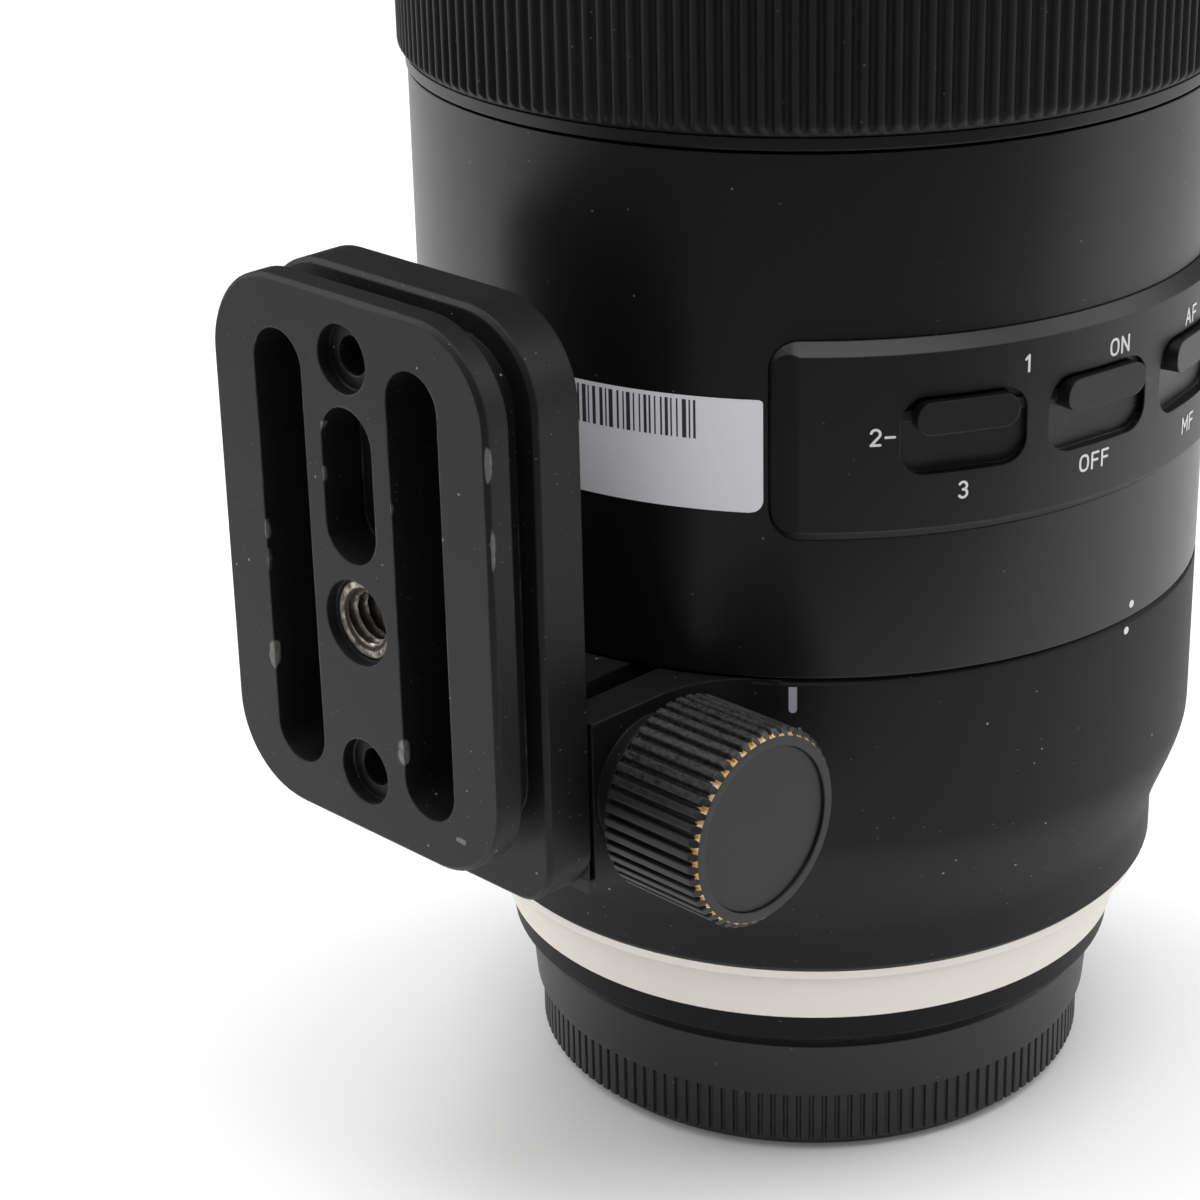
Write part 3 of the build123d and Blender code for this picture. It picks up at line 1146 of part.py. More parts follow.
def build_all():
    """Build every piece and write it to its file."""
    pieces = {
        "rear_bayonet": rear_bayonet(),
        "mount_screws": mount_screws(),
        "contact_block": contact_block(),
        "contact_pins": contact_pins(),
        "rear_cap": rear_cap(),
        "mount_ring": mount_ring(),
        "accent_ring": accent_ring(),
        "rear_barrel": rear_barrel(),
        "tripod_collar": tripod_collar(),
        "thread_insert": thread_insert(),
        "clamp_washer": clamp_washer(),
        "clamp_screw": clamp_screw(),
        "clamp_knob": clamp_knob(),
        "knob_cap": knob_cap(),
        "main_barrel": main_barrel(),
        "switch_panel": switch_panel(),
        "distance_window": distance_window(),
        "stock_label": stock_label(),
        "circuit_board": circuit_board(),
        "fixed_sleeve": fixed_sleeve(),
        "motor_stator": motor_stator(),
        "motor_rotor": motor_rotor(),
        "focus_ring": focus_ring(),
        "focus_grip": grip(FOCUS_GRIP_Z0 + FIT, FOCUS_GRIP_Z1 - FIT),
        "focus_cam": focus_cam(),
        "focus_cell": cell(FOCUS_CELL_Z, GLASS_R, FOCUS_AZS, CAM_BORE + CAM_WALL - PIN_END_GAP),
        "focus_glass": doublet(FOCUS_CELL_Z, GLASS_R, FOCUS_BULGE),
        "scale_band": scale_band(),
        "zoom_ring": zoom_ring(),
        "zoom_grip": grip(ZOOM_GRIP_Z0 + FIT, ZOOM_GRIP_Z1 - FIT),
        "zoom_cam": zoom_cam(),
        "variator_cell": cell(VARIATOR_Z, GLASS_R, VARIATOR_AZS, ZOOM_CAM_R - PIN_END_GAP),
        "variator_glass": doublet(VARIATOR_Z, GLASS_R, VARIATOR_BULGE),
        "compensator_cell": cell(COMPENSATOR_Z, GLASS_R, COMPENSATOR_AZS, ZOOM_CAM_R - PIN_END_GAP),
        "compensator_glass": doublet(COMPENSATOR_Z, GLASS_R, VARIATOR_BULGE),
        "front_barrel": front_barrel(),
        "front_cell": front_cell(),
        "front_glass": front_glass(),
        "front_trim_ring": front_trim_ring(),
        "rear_cell": rear_cell(),
        "rear_glass": rear_glass(),
        "relay_barrel": relay_barrel(),
        "iris_ring": iris_ring(),
        "stabiliser_carriage": stabiliser_carriage(),
        "stabiliser_cell": stabiliser_cell(),
        "stabiliser_glass": stabiliser_glass(),
    }
    for name, azimuth in zip(SWITCH_NAMES, switch_azimuths()):
        pieces[name] = switch_slider(azimuth)
    for index in range(BLADE_COUNT):
        pieces[f"iris_blade_{index + 1}"] = iris_blade(index)
    for name, shape in pieces.items():
        save(shape, name)


build_all()
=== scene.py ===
import json
import math

import bmesh
import bpy
import numpy as np
from mathutils import Matrix, Vector


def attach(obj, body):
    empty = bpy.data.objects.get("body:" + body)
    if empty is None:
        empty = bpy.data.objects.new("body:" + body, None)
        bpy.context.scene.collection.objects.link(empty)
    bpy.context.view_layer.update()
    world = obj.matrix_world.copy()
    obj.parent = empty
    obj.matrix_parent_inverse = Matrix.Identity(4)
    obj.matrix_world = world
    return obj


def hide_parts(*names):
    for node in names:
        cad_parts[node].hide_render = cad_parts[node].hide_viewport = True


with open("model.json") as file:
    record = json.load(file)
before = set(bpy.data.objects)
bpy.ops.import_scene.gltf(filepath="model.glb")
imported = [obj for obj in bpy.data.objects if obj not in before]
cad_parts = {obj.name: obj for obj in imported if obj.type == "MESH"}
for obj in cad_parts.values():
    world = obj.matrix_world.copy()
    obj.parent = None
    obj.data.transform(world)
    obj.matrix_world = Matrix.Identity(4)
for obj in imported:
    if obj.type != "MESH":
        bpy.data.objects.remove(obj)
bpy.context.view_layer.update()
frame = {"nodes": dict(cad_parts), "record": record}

MM = 0.001
BODY_OF = {node: body for body, nodes in frame["record"]["behaviour"]["bodies"].items() for node in nodes}

# Sizes in mm, the same as the solids
BARREL_R = 43.0
PANEL_R = 44.5
GRIP_R = 44.0
GRIP_BASE_R = 43.4
GRIP_BORE_R = 42.45
GRIP_RIBS = 172
FOCUS_GRIP_Z = (119.15, 144.75)
ZOOM_GRIP_Z = (162.05, 192.15)
KNOB_Y = -46.6
KNOB_Z = 54.4
KNOB_RIBS = 45
KNOB_RECESS_R = 9.0
PANEL_AZ = 92.5
PANEL_ARC = 112.2
PANEL_Z0 = 78.5
PANEL_Z1 = 99.1
PANEL_END_RUN = 3.1
PANEL_BEVEL = 1.4
FOOT_FACE_Y = -66.9
THREAD_Z = 72.3
THREAD_PITCH = 1.27
THREAD_MINOR_R = 2.55
THREAD_MAJOR_R = 3.18
THREAD_MOUTH = 0.25
LABEL_Z0 = 81.2
LABEL_Z1 = 93.0
LABEL_AZ0 = -3.0
LABEL_AZ1 = 35.6
LABEL_LOW_CORNER = 1.4
LABEL_TOP_CORNER = 0.4
LEGEND_H = 1.6
LEGEND_STROKE = 0.27
BARS_Z = (88.6, 92.6)
BARS_AZ = (5.0, 27.8)
MARK_W = 0.85
PAINT_LIFT = 0.02

# Shading radii of edges, in metres
EDGE_ROUND = 0.00022
FOOT_EDGE_ROUND = 0.0003
RIB_ROUND = 0.00034

# Old paint chips and glue spots round the foot's slots: x, z, half width, half height in mm
FOOT_MARKS = (
    (-13.1, 64.9, 1.2, 1.6), (-13.1, 78.6, 0.5, 1.3), (-12.9, 75.4, 0.6, 1.6), (-3.2, 87.2, 0.6, 1.2),
    (6.7, 86.1, 0.55, 1.0), (6.4, 60.1, 1.1, 1.5), (-0.4, 80.0, 1.4, 0.5), (19.9, 93.9, 0.26, 1.9),
    (20.0, 85.4, 0.17, 2.2), (-3.3, 92.0, 0.4, 0.7), (14.2, 53.2, 0.8, 0.35),
)


# Shader writing
class Value:
    """A node output that can be used in plain arithmetic."""

    def __init__(self, tree, socket):
        self.tree = tree
        self.socket = socket

    def math(self, operation, *others, clamp=False):
        node = self.tree.nodes.new("ShaderNodeMath")
        node.operation = operation
        node.use_clamp = clamp
        for place, item in zip(node.inputs, (self,) + others):
            feed(self.tree, place, item)
        return Value(self.tree, node.outputs[0])

    def __add__(self, other): return self.math("ADD", other)
    def __radd__(self, other): return self.math("ADD", other)
    def __sub__(self, other): return self.math("SUBTRACT", other)
    def __rsub__(self, other): return Value.number(self.tree, other).math("SUBTRACT", self)
    def __mul__(self, other): return self.math("MULTIPLY", other)
    def __rmul__(self, other): return self.math("MULTIPLY", other)
    def __truediv__(self, other): return self.math("DIVIDE", other)
    def __gt__(self, other): return self.math("GREATER_THAN", other)
    def __lt__(self, other): return self.math("LESS_THAN", other)

    def clamp(self): return self.math("ADD", 0.0, clamp=True)
    def least(self, other): return self.math("MINIMUM", other)
    def most(self, other): return self.math("MAXIMUM", other)
    def power(self, other): return self.math("POWER", other)
    def floor(self): return self.math("FLOOR")
    def size(self): return self.math("ABSOLUTE")
    def angle_to(self, other): return self.math("ARCTAN2", other)

    def step(self, low, high):
        """0 below low, 1 above high, smooth between."""
        node = self.tree.nodes.new("ShaderNodeMapRange")
        node.interpolation_type = "SMOOTHSTEP"
        feed(self.tree, node.inputs["Value"], self)
        node.inputs["From Min"].default_value = low
        node.inputs["From Max"].default_value = high
        return Value(self.tree, node.outputs["Result"])

    @staticmethod
    def number(tree, x):
        node = tree.nodes.new("ShaderNodeValue")
        node.outputs[0].default_value = x
        return Value(tree, node.outputs[0])


def feed(tree, place, item):
    """Link a value into a socket, or set the socket to a number or colour."""
    if isinstance(item, Value):
        tree.links.new(item.socket, place)
    elif isinstance(item, (tuple, list)):
        short = len(item) == 3 and len(place.default_value) == 4
        place.default_value = tuple(item) + (1.0,) if short else item
    else:
        place.default_value = item


class Finish:
    """A material under construction, with Object coordinates in metres."""

    def __init__(self, name):
        self.material = bpy.data.materials.new(name)
        self.material.use_nodes = True
        self.tree = self.material.node_tree
        self.shader = self.tree.nodes["Principled BSDF"]
        self.place = self.node("ShaderNodeTexCoord", out="Object")

    def node(self, kind, settings=None, out=0, **inputs):
        """Any other node: its type, its settings, and values or links for its inputs."""
        node = self.tree.nodes.new(kind)
        for key, value in (settings or {}).items():
            setattr(node, key, value)
        for key, value in inputs.items():
            feed(self.tree, node.inputs[key.replace("_", " ")], value)
        return Value(self.tree, node.outputs[out])

    def noise(self, scale, detail=3.0, roughness=0.5, stretch=None):
        """Cloudy values between 0 and 1, with this many clouds per metre."""
        place = self.place
        if stretch:
            place = self.node("ShaderNodeMapping", Vector=place, Scale=stretch)
        return self.node("ShaderNodeTexNoise", Vector=place, Scale=scale, Detail=detail, Roughness=roughness)

    def specks(self, scale, size):
        """1 inside small dots scattered at random: near a cell's own point, in a few cells only."""
        near = self.node("ShaderNodeTexVoronoi", Vector=self.place, Scale=scale)
        pick = self.node("ShaderNodeTexVoronoi", Vector=self.place, Scale=scale, out="Color")
        chance = self.node("ShaderNodeSeparateColor", Color=pick)
        return (1.0 - near.step(size * 0.6, size)) * (chance > 0.72)

    def axes(self):
        """The three object coordinates, in metres."""
        split = self.tree.nodes.new("ShaderNodeSeparateXYZ")
        feed(self.tree, split.inputs[0], self.place)
        return [Value(self.tree, split.outputs[i]) for i in range(3)]

    def edges(self, radius, samples=4):
        """How much a rounded edge of this radius in metres turns the surface: 0 on flats, rising on edges."""
        bevel = self.tree.nodes.new("ShaderNodeBevel")
        bevel.samples = samples
        bevel.inputs["Radius"].default_value = radius
        flat = self.node("ShaderNodeNewGeometry", out="Normal")
        dot = self.node("ShaderNodeVectorMath", {"operation": "DOT_PRODUCT"}, out="Value")
        links = self.tree.links
        links.new(bevel.outputs[0], dot.socket.node.inputs[0])
        links.new(flat.socket, dot.socket.node.inputs[1])
        return 1.0 - dot

    def blend(self, mask, a, b):
        """Colour a where the mask is 0, colour b where it is 1."""
        node = self.tree.nodes.new("ShaderNodeMix")
        node.data_type = "RGBA"
        feed(self.tree, node.inputs["Factor"], mask)
        feed(self.tree, node.inputs[6], a)
        feed(self.tree, node.inputs[7], b)
        return Value(self.tree, node.outputs[2])

    def bump(self, height, distance, rounding=0.0):
        """Normal for a height pattern, with sharp edges shaded as if rounded by this radius in metres."""
        relief = self.node("ShaderNodeBump", Height=height, Distance=distance, Strength=1.0)
        if rounding:
            round_edge = self.node("ShaderNodeBevel", {"samples": 4}, Radius=rounding)
            feed(self.tree, relief.socket.node.inputs["Normal"], round_edge)
        return relief

    def surface(self, **inputs):
        """Feed the shader: names as on the node, with _ for a space."""
        for key, value in inputs.items():
            feed(self.tree, self.shader.inputs[key.replace("_", " ")], value)
        return self.material


def lacquer(name, tone, rough, grain, grain_depth, dust_and_sheen, specular=0.5):
    """Satin black paint: fine grain, faint cloudy wear in the gloss and a little dust."""
    f = Finish(name)
    cloud = f.noise(38.0, 4.0, 0.6)
    fine = f.noise(grain, 2.0, 0.5)
    dots = f.specks(520.0, 0.085) * dust_and_sheen
    colour = f.blend(cloud * 0.5, tuple(0.8 * c for c in tone), tuple(1.2 * c for c in tone))
    colour = f.blend(dots, colour, (0.30, 0.30, 0.29))
    gloss = rough - 0.05 + cloud * 0.1 + dots * 0.2
    return f.surface(Base_Color=colour, Roughness=gloss, Specular_IOR_Level=specular,
                     Normal=f.bump(fine, grain_depth, EDGE_ROUND))


def mottled(name, scale, detail, dark, pale, **inputs):
    """Plain surface whose colour varies a little between two tones."""
    f = Finish(name)
    return f.surface(Base_Color=f.blend(f.noise(scale, detail), dark, pale), **inputs)


def foot_lacquer():
    """Matt charcoal paint with dust, pale rubbed edges and glossy spots on the front face and its edges."""
    f = Finish("foot_charcoal")
    x, y, z = f.axes()
    cloud = f.noise(38.0, 4.0, 0.6)
    fine = f.noise(2300.0, 2.0, 0.5)
    wobble = (f.noise(900.0, 3.0, 0.7) - 0.5) * 1.3
    dots = (f.specks(430.0, 0.075) + f.specks(260.0, 0.04) + f.specks(1100.0, 0.1) * 0.5).clamp()
    neck = (y * (1.0 / MM)).step(-61.0, -57.0)
    rubbed = f.edges(0.00035).step(0.03, 0.25) * f.noise(140.0, 3.0, 0.7).step(0.44, 0.62)
    rubbed = rubbed * (1.0 - neck * 0.8)
    spots = None
    deep = (y - FOOT_FACE_Y * MM) * (1.0 / (0.9 * MM))
    for mark_x, mark_z, half_w, half_h in FOOT_MARKS:
        across = (x - mark_x * MM) * (1.0 / (half_w * MM))
        along = (z - mark_z * MM).size() * (1.0 / (half_h * MM))
        inside = 1.0 - (across * across + along.power(4.0) + deep * deep + wobble).step(0.5, 1.1)
        spots = inside if spots is None else spots.most(inside)
    ring = 1.0 - (x * x + y * y).step((43.2 * MM) ** 2, (44.5 * MM) ** 2)
    colour = f.blend(cloud * 0.6, (0.0048, 0.0052, 0.006), (0.0074, 0.0079, 0.009))
    colour = f.blend(ring, colour, (0.0024, 0.0026, 0.0029))
    colour = f.blend(rubbed, colour, (0.075, 0.075, 0.08))
    colour = f.blend(dots * 0.75, colour, (0.36, 0.36, 0.35))
    colour = f.blend(spots * 0.8, colour, (0.15, 0.145, 0.135))
    gloss = 0.47 + cloud * 0.08 + dots * 0.2 + ring * 0.1 - spots * 0.24 - rubbed * 0.12
    relief = fine * 0.3 + spots * f.noise(1300.0, 2.0) * 14.0
    return f.surface(Base_Color=colour, Roughness=gloss, Specular_IOR_Level=0.35,
                     Normal=f.bump(relief, 0.000022, FOOT_EDGE_ROUND))


def panel_moulding():
    """Satin moulding of the switch panel. Its wide end bevels carry painted shade (a darker colour), its
    lower bevel a painted reflection of the floor (a paler colour).
    """
    f = Finish("panel_moulding")
    x, y, z = f.axes()
    cloud = f.noise(38.0, 4.0, 0.6)
    dots = f.specks(520.0, 0.085) * 0.15
    turn = (x.angle_to(y * -1.0) * math.degrees(1.0) - PANEL_AZ).size()
    from_end = (PANEL_ARC / 2.0 - turn) * (math.radians(1.0) * PANEL_R)
    low = z * (1.0 / MM) - PANEL_Z0
    from_side = low.least(PANEL_Z1 - PANEL_Z0 - low)
    beyond = from_side - from_end * (PANEL_BEVEL / PANEL_END_RUN)
    # Painted shade: this mask marks the wide end bevels, which get a near-black colour below, standing in for
    # the dark surroundings they mirror.
    end = beyond.step(-0.25, 0.25) * (from_end < PANEL_END_RUN - 0.04)
    colour = f.blend(cloud * 0.5, (0.0036, 0.0038, 0.004), (0.0054, 0.0056, 0.006))
    # Painted reflection: the lower bevel gets a paler colour, standing in for the pale floor it mirrors.
    colour = f.blend(low < PANEL_BEVEL - 0.05, colour, (0.014, 0.0142, 0.0148))
    colour = f.blend(end, colour, (0.0003, 0.0004, 0.0004))
    colour = f.blend(dots, colour, (0.30, 0.30, 0.29))
    gloss = 0.35 + cloud * 0.1 + dots * 0.2 + end * 0.1
    return f.surface(Base_Color=colour, Roughness=gloss,
                     Normal=f.bump(f.noise(3800.0, 2.0), 0.000006, EDGE_ROUND))


def knob_finish():
    """Black knob, worn to the brass at the front ends of its ribs. A chip is a triangle on a rib: it starts
    at the rim as wide as the rib and ends in a point, and its length is drawn at random for each rib."""
    mesh = frame["nodes"]["clamp_knob"].data
    places = np.array([v.co[:] for v in mesh.vertices]) / MM
    face_x = places[:, 0].max()
    ahead = places[:, 0] < face_x - 1.0
    y, z = places[:, 1] - KNOB_Y, places[:, 2] - KNOB_Z
    on_land = ahead & (np.hypot(y, z) > np.hypot(y, z).max() - 0.03)
    first = np.angle(np.exp(1j * KNOB_RIBS * np.arctan2(z, y)[on_land]).sum()) / KNOB_RIBS

    f = Finish("knob_black_over_brass")
    x, y, z = f.axes()
    across = y * (1.0 / MM) - KNOB_Y
    up = z * (1.0 / MM) - KNOB_Z
    depth = face_x - x * (1.0 / MM)
    rib = (up.angle_to(across) - first) * (KNOB_RIBS / (2.0 * math.pi))
    number = (rib + 0.5).floor()
    aside = (rib - number).size() * (1.0 / 0.3)
    draw = f.node("ShaderNodeTexWhiteNoise", {"noise_dimensions": "1D"}, W=number * 7.31)
    worn = up * 0.054 - across * 0.036
    length = (draw * 0.8 + 0.08 + worn).most(0.02)
    ragged = (f.noise(2600.0, 2.0) - 0.5) * 0.5
    outside = across * across + up * up > KNOB_RECESS_R ** 2
    chips = (aside + ragged + depth / length < 1.0) * (depth > 0.02) * outside
    face = depth < 0.02
    cloud = f.noise(90.0, 3.0)
    # Painted highlight: the upper ribs, where the top lamp falls, get a paler colour, broken into fine flecks
    # like dust.
    dust_and_sheen = up.step(1.0, 9.0) * f.noise(2300.0, 3.0, 0.7).step(0.36, 0.62)
    colour = f.blend(cloud, (0.003, 0.0032, 0.0035), (0.006, 0.0062, 0.0066))
    colour = f.blend(dust_and_sheen, colour, (0.038, 0.039, 0.041))
    colour = f.blend(face, colour, (0.0125, 0.0128, 0.0135))
    brass = f.blend(f.noise(700.0).step(0.5, 0.68), (0.66, 0.38, 0.13), (0.82, 0.70, 0.52))
    colour = f.blend(chips, colour, brass)
    gloss = 0.46 + cloud * 0.1 + face * 0.02 - chips * 0.1
    return f.surface(Base_Color=colour, Metallic=chips * 0.55, Roughness=gloss,
                     Normal=f.bump(f.noise(2600.0, 3.0, 0.7), 0.000016, RIB_ROUND))


def make_finishes():
    """All materials by a short name."""
    m = {}
    m["barrel"] = lacquer("barrel_satin_black", (0.0042, 0.0044, 0.0044), 0.37, 3200.0, 0.000005, 0.3)
    m["foot"] = foot_lacquer()
    m["panel"] = panel_moulding()
    m["knob"] = knob_finish()
    m["slider"] = lacquer("slider_moulding", (0.004, 0.0042, 0.0045), 0.40, 3800.0, 0.000004, 0.1)
    m["cap"] = lacquer("cap_moulding", (0.0028, 0.003, 0.0032), 0.46, 2400.0, 0.00001, 0.3)
    m["mount"] = lacquer("mount_ring_black", (0.0015, 0.0015, 0.0016), 0.5, 3000.0, 0.000005, 0.2, 0.2)
    m["knob_face"] = lacquer("knob_disc", (0.009, 0.0093, 0.01), 0.48, 3400.0, 0.000006, 0.1, 0.42)
    m["inner"] = lacquer("black_anodised", (0.012, 0.012, 0.012), 0.55, 2600.0, 0.000006, 0.0)

    f = Finish("grip_rubber")
    cloud = f.noise(60.0, 4.0, 0.6)
    dots = f.specks(700.0, 0.1) * 0.35
    colour = f.blend(cloud, (0.005, 0.005, 0.0055), (0.0085, 0.0085, 0.009))
    colour = f.blend(dots, colour, (0.2, 0.2, 0.19))
    m["rubber"] = f.surface(Base_Color=colour, Roughness=0.5 + cloud * 0.14, Specular_IOR_Level=0.42,
                            Normal=f.bump(f.noise(3000.0, 2.0), 0.00001))

    f = Finish("accent_champagne")
    turn = f.noise(900.0, 2.0, 0.5, stretch=(0.02, 0.02, 6.0))
    colour = f.blend(f.noise(30.0, 3.0), (0.76, 0.71, 0.65), (0.81, 0.76, 0.70))
    m["accent"] = f.surface(Base_Color=colour, Metallic=0.35, Roughness=0.36 + turn * 0.1,
                            Normal=f.bump(turn, 0.000004))

    f = Finish("bush_steel")
    x, y, z = f.axes()
    grime = f.noise(900.0, 4.0, 0.7).step(0.38, 0.62)
    rise = z - THREAD_Z * MM
    out = (x * x + rise * rise).power(0.5) * (1.0 / MM)
    root = out.step(THREAD_MINOR_R + 0.08, THREAD_MAJOR_R - 0.2) * (1.0 - out.step(3.2, 3.4))
    colour = f.blend(grime, (0.56, 0.52, 0.46), (0.17, 0.145, 0.12))
    colour = f.blend(root, colour, (0.055, 0.036, 0.026))
    m["bush"] = f.surface(Base_Color=colour, Metallic=0.7, Roughness=0.34 + grime * 0.3,
                          Normal=f.bump(grime, 0.00004))

    f = Finish("bright_plate")
    turn = f.noise(700.0, 2.0, 0.5, stretch=(1.0, 1.0, 0.05))
    m["chrome"] = f.surface(Base_Color=f.blend(turn, (0.66, 0.66, 0.67), (0.76, 0.76, 0.77)), Metallic=1.0,
                            Roughness=0.16 + turn * 0.1, Normal=f.bump(turn, 0.000002))

    f = Finish("machined_steel")
    turn = f.noise(1200.0, 2.0, 0.5, stretch=(1.0, 0.1, 0.1))
    m["steel"] = f.surface(Base_Color=f.blend(turn, (0.42, 0.42, 0.43), (0.55, 0.55, 0.56)), Metallic=1.0,
                           Roughness=0.28 + turn * 0.14, Normal=f.bump(turn, 0.000004))

    f = Finish("contact_gold")
    wear = f.noise(900.0, 2.0)
    m["gold"] = f.surface(Base_Color=f.blend(wear, (0.80, 0.56, 0.22), (0.88, 0.66, 0.30)), Metallic=1.0,
                          Roughness=0.2 + wear * 0.12)

    f = Finish("coated_glass")
    tint = f.noise(14.0, 2.0)
    m["glass"] = f.surface(Base_Color=f.blend(tint, (0.50, 0.62, 0.58), (0.60, 0.56, 0.66)), Roughness=0.03,
                           Transmission_Weight=1.0, IOR=1.6, Coat_Weight=0.6, Coat_Roughness=0.03,
                           Normal=f.bump(tint, 0.000001))

    f = Finish("label_paper")
    pulp = f.noise(1800.0, 4.0, 0.7)
    m["paper"] = f.surface(Base_Color=f.blend(pulp, (0.74, 0.73, 0.77), (0.80, 0.79, 0.83)), Roughness=0.7,
                           Normal=f.bump(pulp, 0.00001))

    m["window"] = mottled("window_pane", 40.0, 3.0, (0.016, 0.017, 0.018), (0.024, 0.025, 0.027),
                          Roughness=0.08, Coat_Weight=1.0, Coat_Roughness=0.04)
    m["legend"] = mottled("legend_paint", 3000.0, 2.0, (0.62, 0.63, 0.64), (0.72, 0.73, 0.74), Roughness=0.5)
    m["index"] = mottled("index_paint", 3000.0, 2.0, (0.33, 0.34, 0.38), (0.42, 0.43, 0.47), Roughness=0.5)
    m["ink"] = mottled("bar_ink", 3000.0, 2.0, (0.02, 0.02, 0.022), (0.045, 0.045, 0.05), Roughness=0.6)
    m["board"] = mottled("board_mask", 200.0, 3.0, (0.02, 0.10, 0.05), (0.03, 0.14, 0.07), Roughness=0.4)
    m["motor"] = mottled("motor_alloy", 900.0, 3.0, (0.30, 0.28, 0.25), (0.38, 0.36, 0.33),
                         Metallic=1.0, Roughness=0.35)
    return m


FINISH = make_finishes()


# Mesh making
def piece(name, points, faces, finish, body, smooth=None, replaces=()):
    """Mesh object in metres from points in mm, riding on a body."""
    mesh = bpy.data.meshes.new(name)
    mesh.from_pydata((np.asarray(points) * MM).tolist(), [], [tuple(f) for f in faces])
    mesh.validate()
    return adopt(name, mesh, finish, body, smooth, replaces)


def adopt(name, mesh, finish, body, smooth=None, replaces=()):
    """Object for a finished mesh: shading, finish, body and what it stands for."""
    if smooth is not None:
        mesh.shade_smooth()
        mesh.set_sharp_from_angle(angle=math.radians(smooth))
    mesh.materials.clear()
    mesh.materials.append(FINISH[finish])
    obj = bpy.data.objects.new(name, mesh)
    bpy.context.scene.collection.objects.link(obj)
    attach(obj, body)
    if replaces:
        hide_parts(*replaces)
    return obj


def grid_faces(rows, columns, closed_rows=False, closed_columns=False):
    """Quads of a grid whose points are numbered row by row."""
    i = np.arange(rows if closed_rows else rows - 1)[:, None]
    j = np.arange(columns if closed_columns else columns - 1)[None, :]
    a = i * columns + j
    b = i * columns + (j + 1) % columns
    c = ((i + 1) % rows) * columns + (j + 1) % columns
    d = ((i + 1) % rows) * columns + j
    return np.stack([a, b, c, d], axis=-1).reshape(-1, 4)


def refined(node, finish, angle):
    """Copy of a CAD node with its loose triangles joined, so that round faces shade smoothly."""
    source = frame["nodes"][node]
    mesh = source.data.copy()
    work = bmesh.new()
    work.from_mesh(mesh)
    bmesh.ops.remove_doubles(work, verts=work.verts, dist=1e-6)
    work.to_mesh(mesh)
    work.free()
    if mesh.attributes.get("custom_normal"):
        mesh.attributes.remove(mesh.attributes["custom_normal"])
    return adopt(node + "_finished", mesh, finish, BODY_OF[node], angle, (node,))


def ribbed_grip(name, ends, body, node):
    """Rubber sleeve. Radius = base + rib height * rounded wave of the azimuth, and the ribs fade out over
    the last millimetre at both ends, where the sleeve rounds over to its bore."""
    z0, z1 = ends
    columns = GRIP_RIBS * 10
    turn = np.linspace(0, 2 * np.pi, columns, endpoint=False)
    wave = np.clip(0.5 + 0.85 * np.cos(GRIP_RIBS * turn), 0, 1) ** 0.7
    rise = np.array([0.0, 0.0, 0.25, 0.6, 0.85, 0.97, 1.0])
    out = np.array([0.0, 0.35, 0.5, 0.75, 0.95, 1.15, 1.4])
    z = np.concatenate([z0 + out, np.linspace(z0 + 2.4, z1 - 2.4, 6), (z1 - out)[::-1]])
    fade = np.concatenate([rise, np.ones(6), rise[::-1]])
    base = np.full(z.shape, GRIP_BASE_R)
    base[0] = base[-1] = GRIP_BASE_R - 0.35
    radius = base[:, None] + (GRIP_R - GRIP_BASE_R) * fade[:, None] * wave[None, :]
    inner = np.full((1, columns), GRIP_BORE_R)
    radius = np.vstack([inner, radius, inner])
    z = np.concatenate([[z0], z, [z1]])
    points = np.stack([radius * np.cos(turn), radius * np.sin(turn), np.repeat(z[:, None], columns, 1)], -1)
    faces = grid_faces(len(z), columns, closed_rows=True, closed_columns=True)
    return piece(name, points.reshape(-1, 3), faces, "rubber", body, 60.0, (node,))


def on_barrel(azimuth, z, radius):
    """Point at this azimuth (degrees from -Y towards +X) and height, this far from the axis."""
    a = np.radians(azimuth)
    return np.stack(np.broadcast_arrays(radius * np.sin(a), -radius * np.cos(a), z), -1)


def label():
    """Paper label: a curved sheet whose right corners are quarter circles, the lower one larger."""
    rows, columns = 81, 60
    z = np.linspace(LABEL_Z0, LABEL_Z1, rows)
    inset = np.zeros(rows)
    for corner, away in ((LABEL_LOW_CORNER, z - LABEL_Z0), (LABEL_TOP_CORNER, LABEL_Z1 - z)):
        near = away.clip(0, corner)
        inset += corner - np.sqrt(corner ** 2 - (corner - near) ** 2)
    right = LABEL_AZ1 - np.degrees(inset / BARREL_R)
    azimuth = LABEL_AZ0 + (right - LABEL_AZ0)[:, None] * np.linspace(0, 1, columns)[None, :]
    height = np.repeat(z[:, None], columns, 1)
    sheets = [on_barrel(azimuth, height, BARREL_R + lift).reshape(-1, 3) for lift in (0.1, 0.02)]
    top = grid_faces(rows, columns)
    faces = np.vstack([top, top[:, ::-1] + rows * columns])
    piece("stock_label_sheet", np.vstack(sheets), faces, "paper", "barrel",
          replaces=("stock_label",))


def label_bars():
    """Plain row of printed bars. Widths and gaps follow a sine of the bar's number."""
    points, faces = [], []
    azimuth, last = BARS_AZ
    for i in range(46):
        wide = 0.22 + 0.40 * (0.5 + 0.5 * math.sin(i * 2.4)) * (i % 3 != 1)
        gap = 0.30 + 0.34 * (0.5 + 0.5 * math.sin(i * 1.7 + 1.0))
        across = azimuth + np.array([0.0, 0.5, 1.0]) * wide
        if across[-1] > last:
            break
        first = len(points) * 6
        points.append(np.vstack([on_barrel(across, z, BARREL_R + 0.106) for z in BARS_Z]))
        faces += [(first + k, first + k + 1, first + k + 4, first + k + 3) for k in (0, 1)]
        azimuth = across[-1] + gap
    piece("stock_label_bars", np.vstack(points), faces, "ink", "barrel")


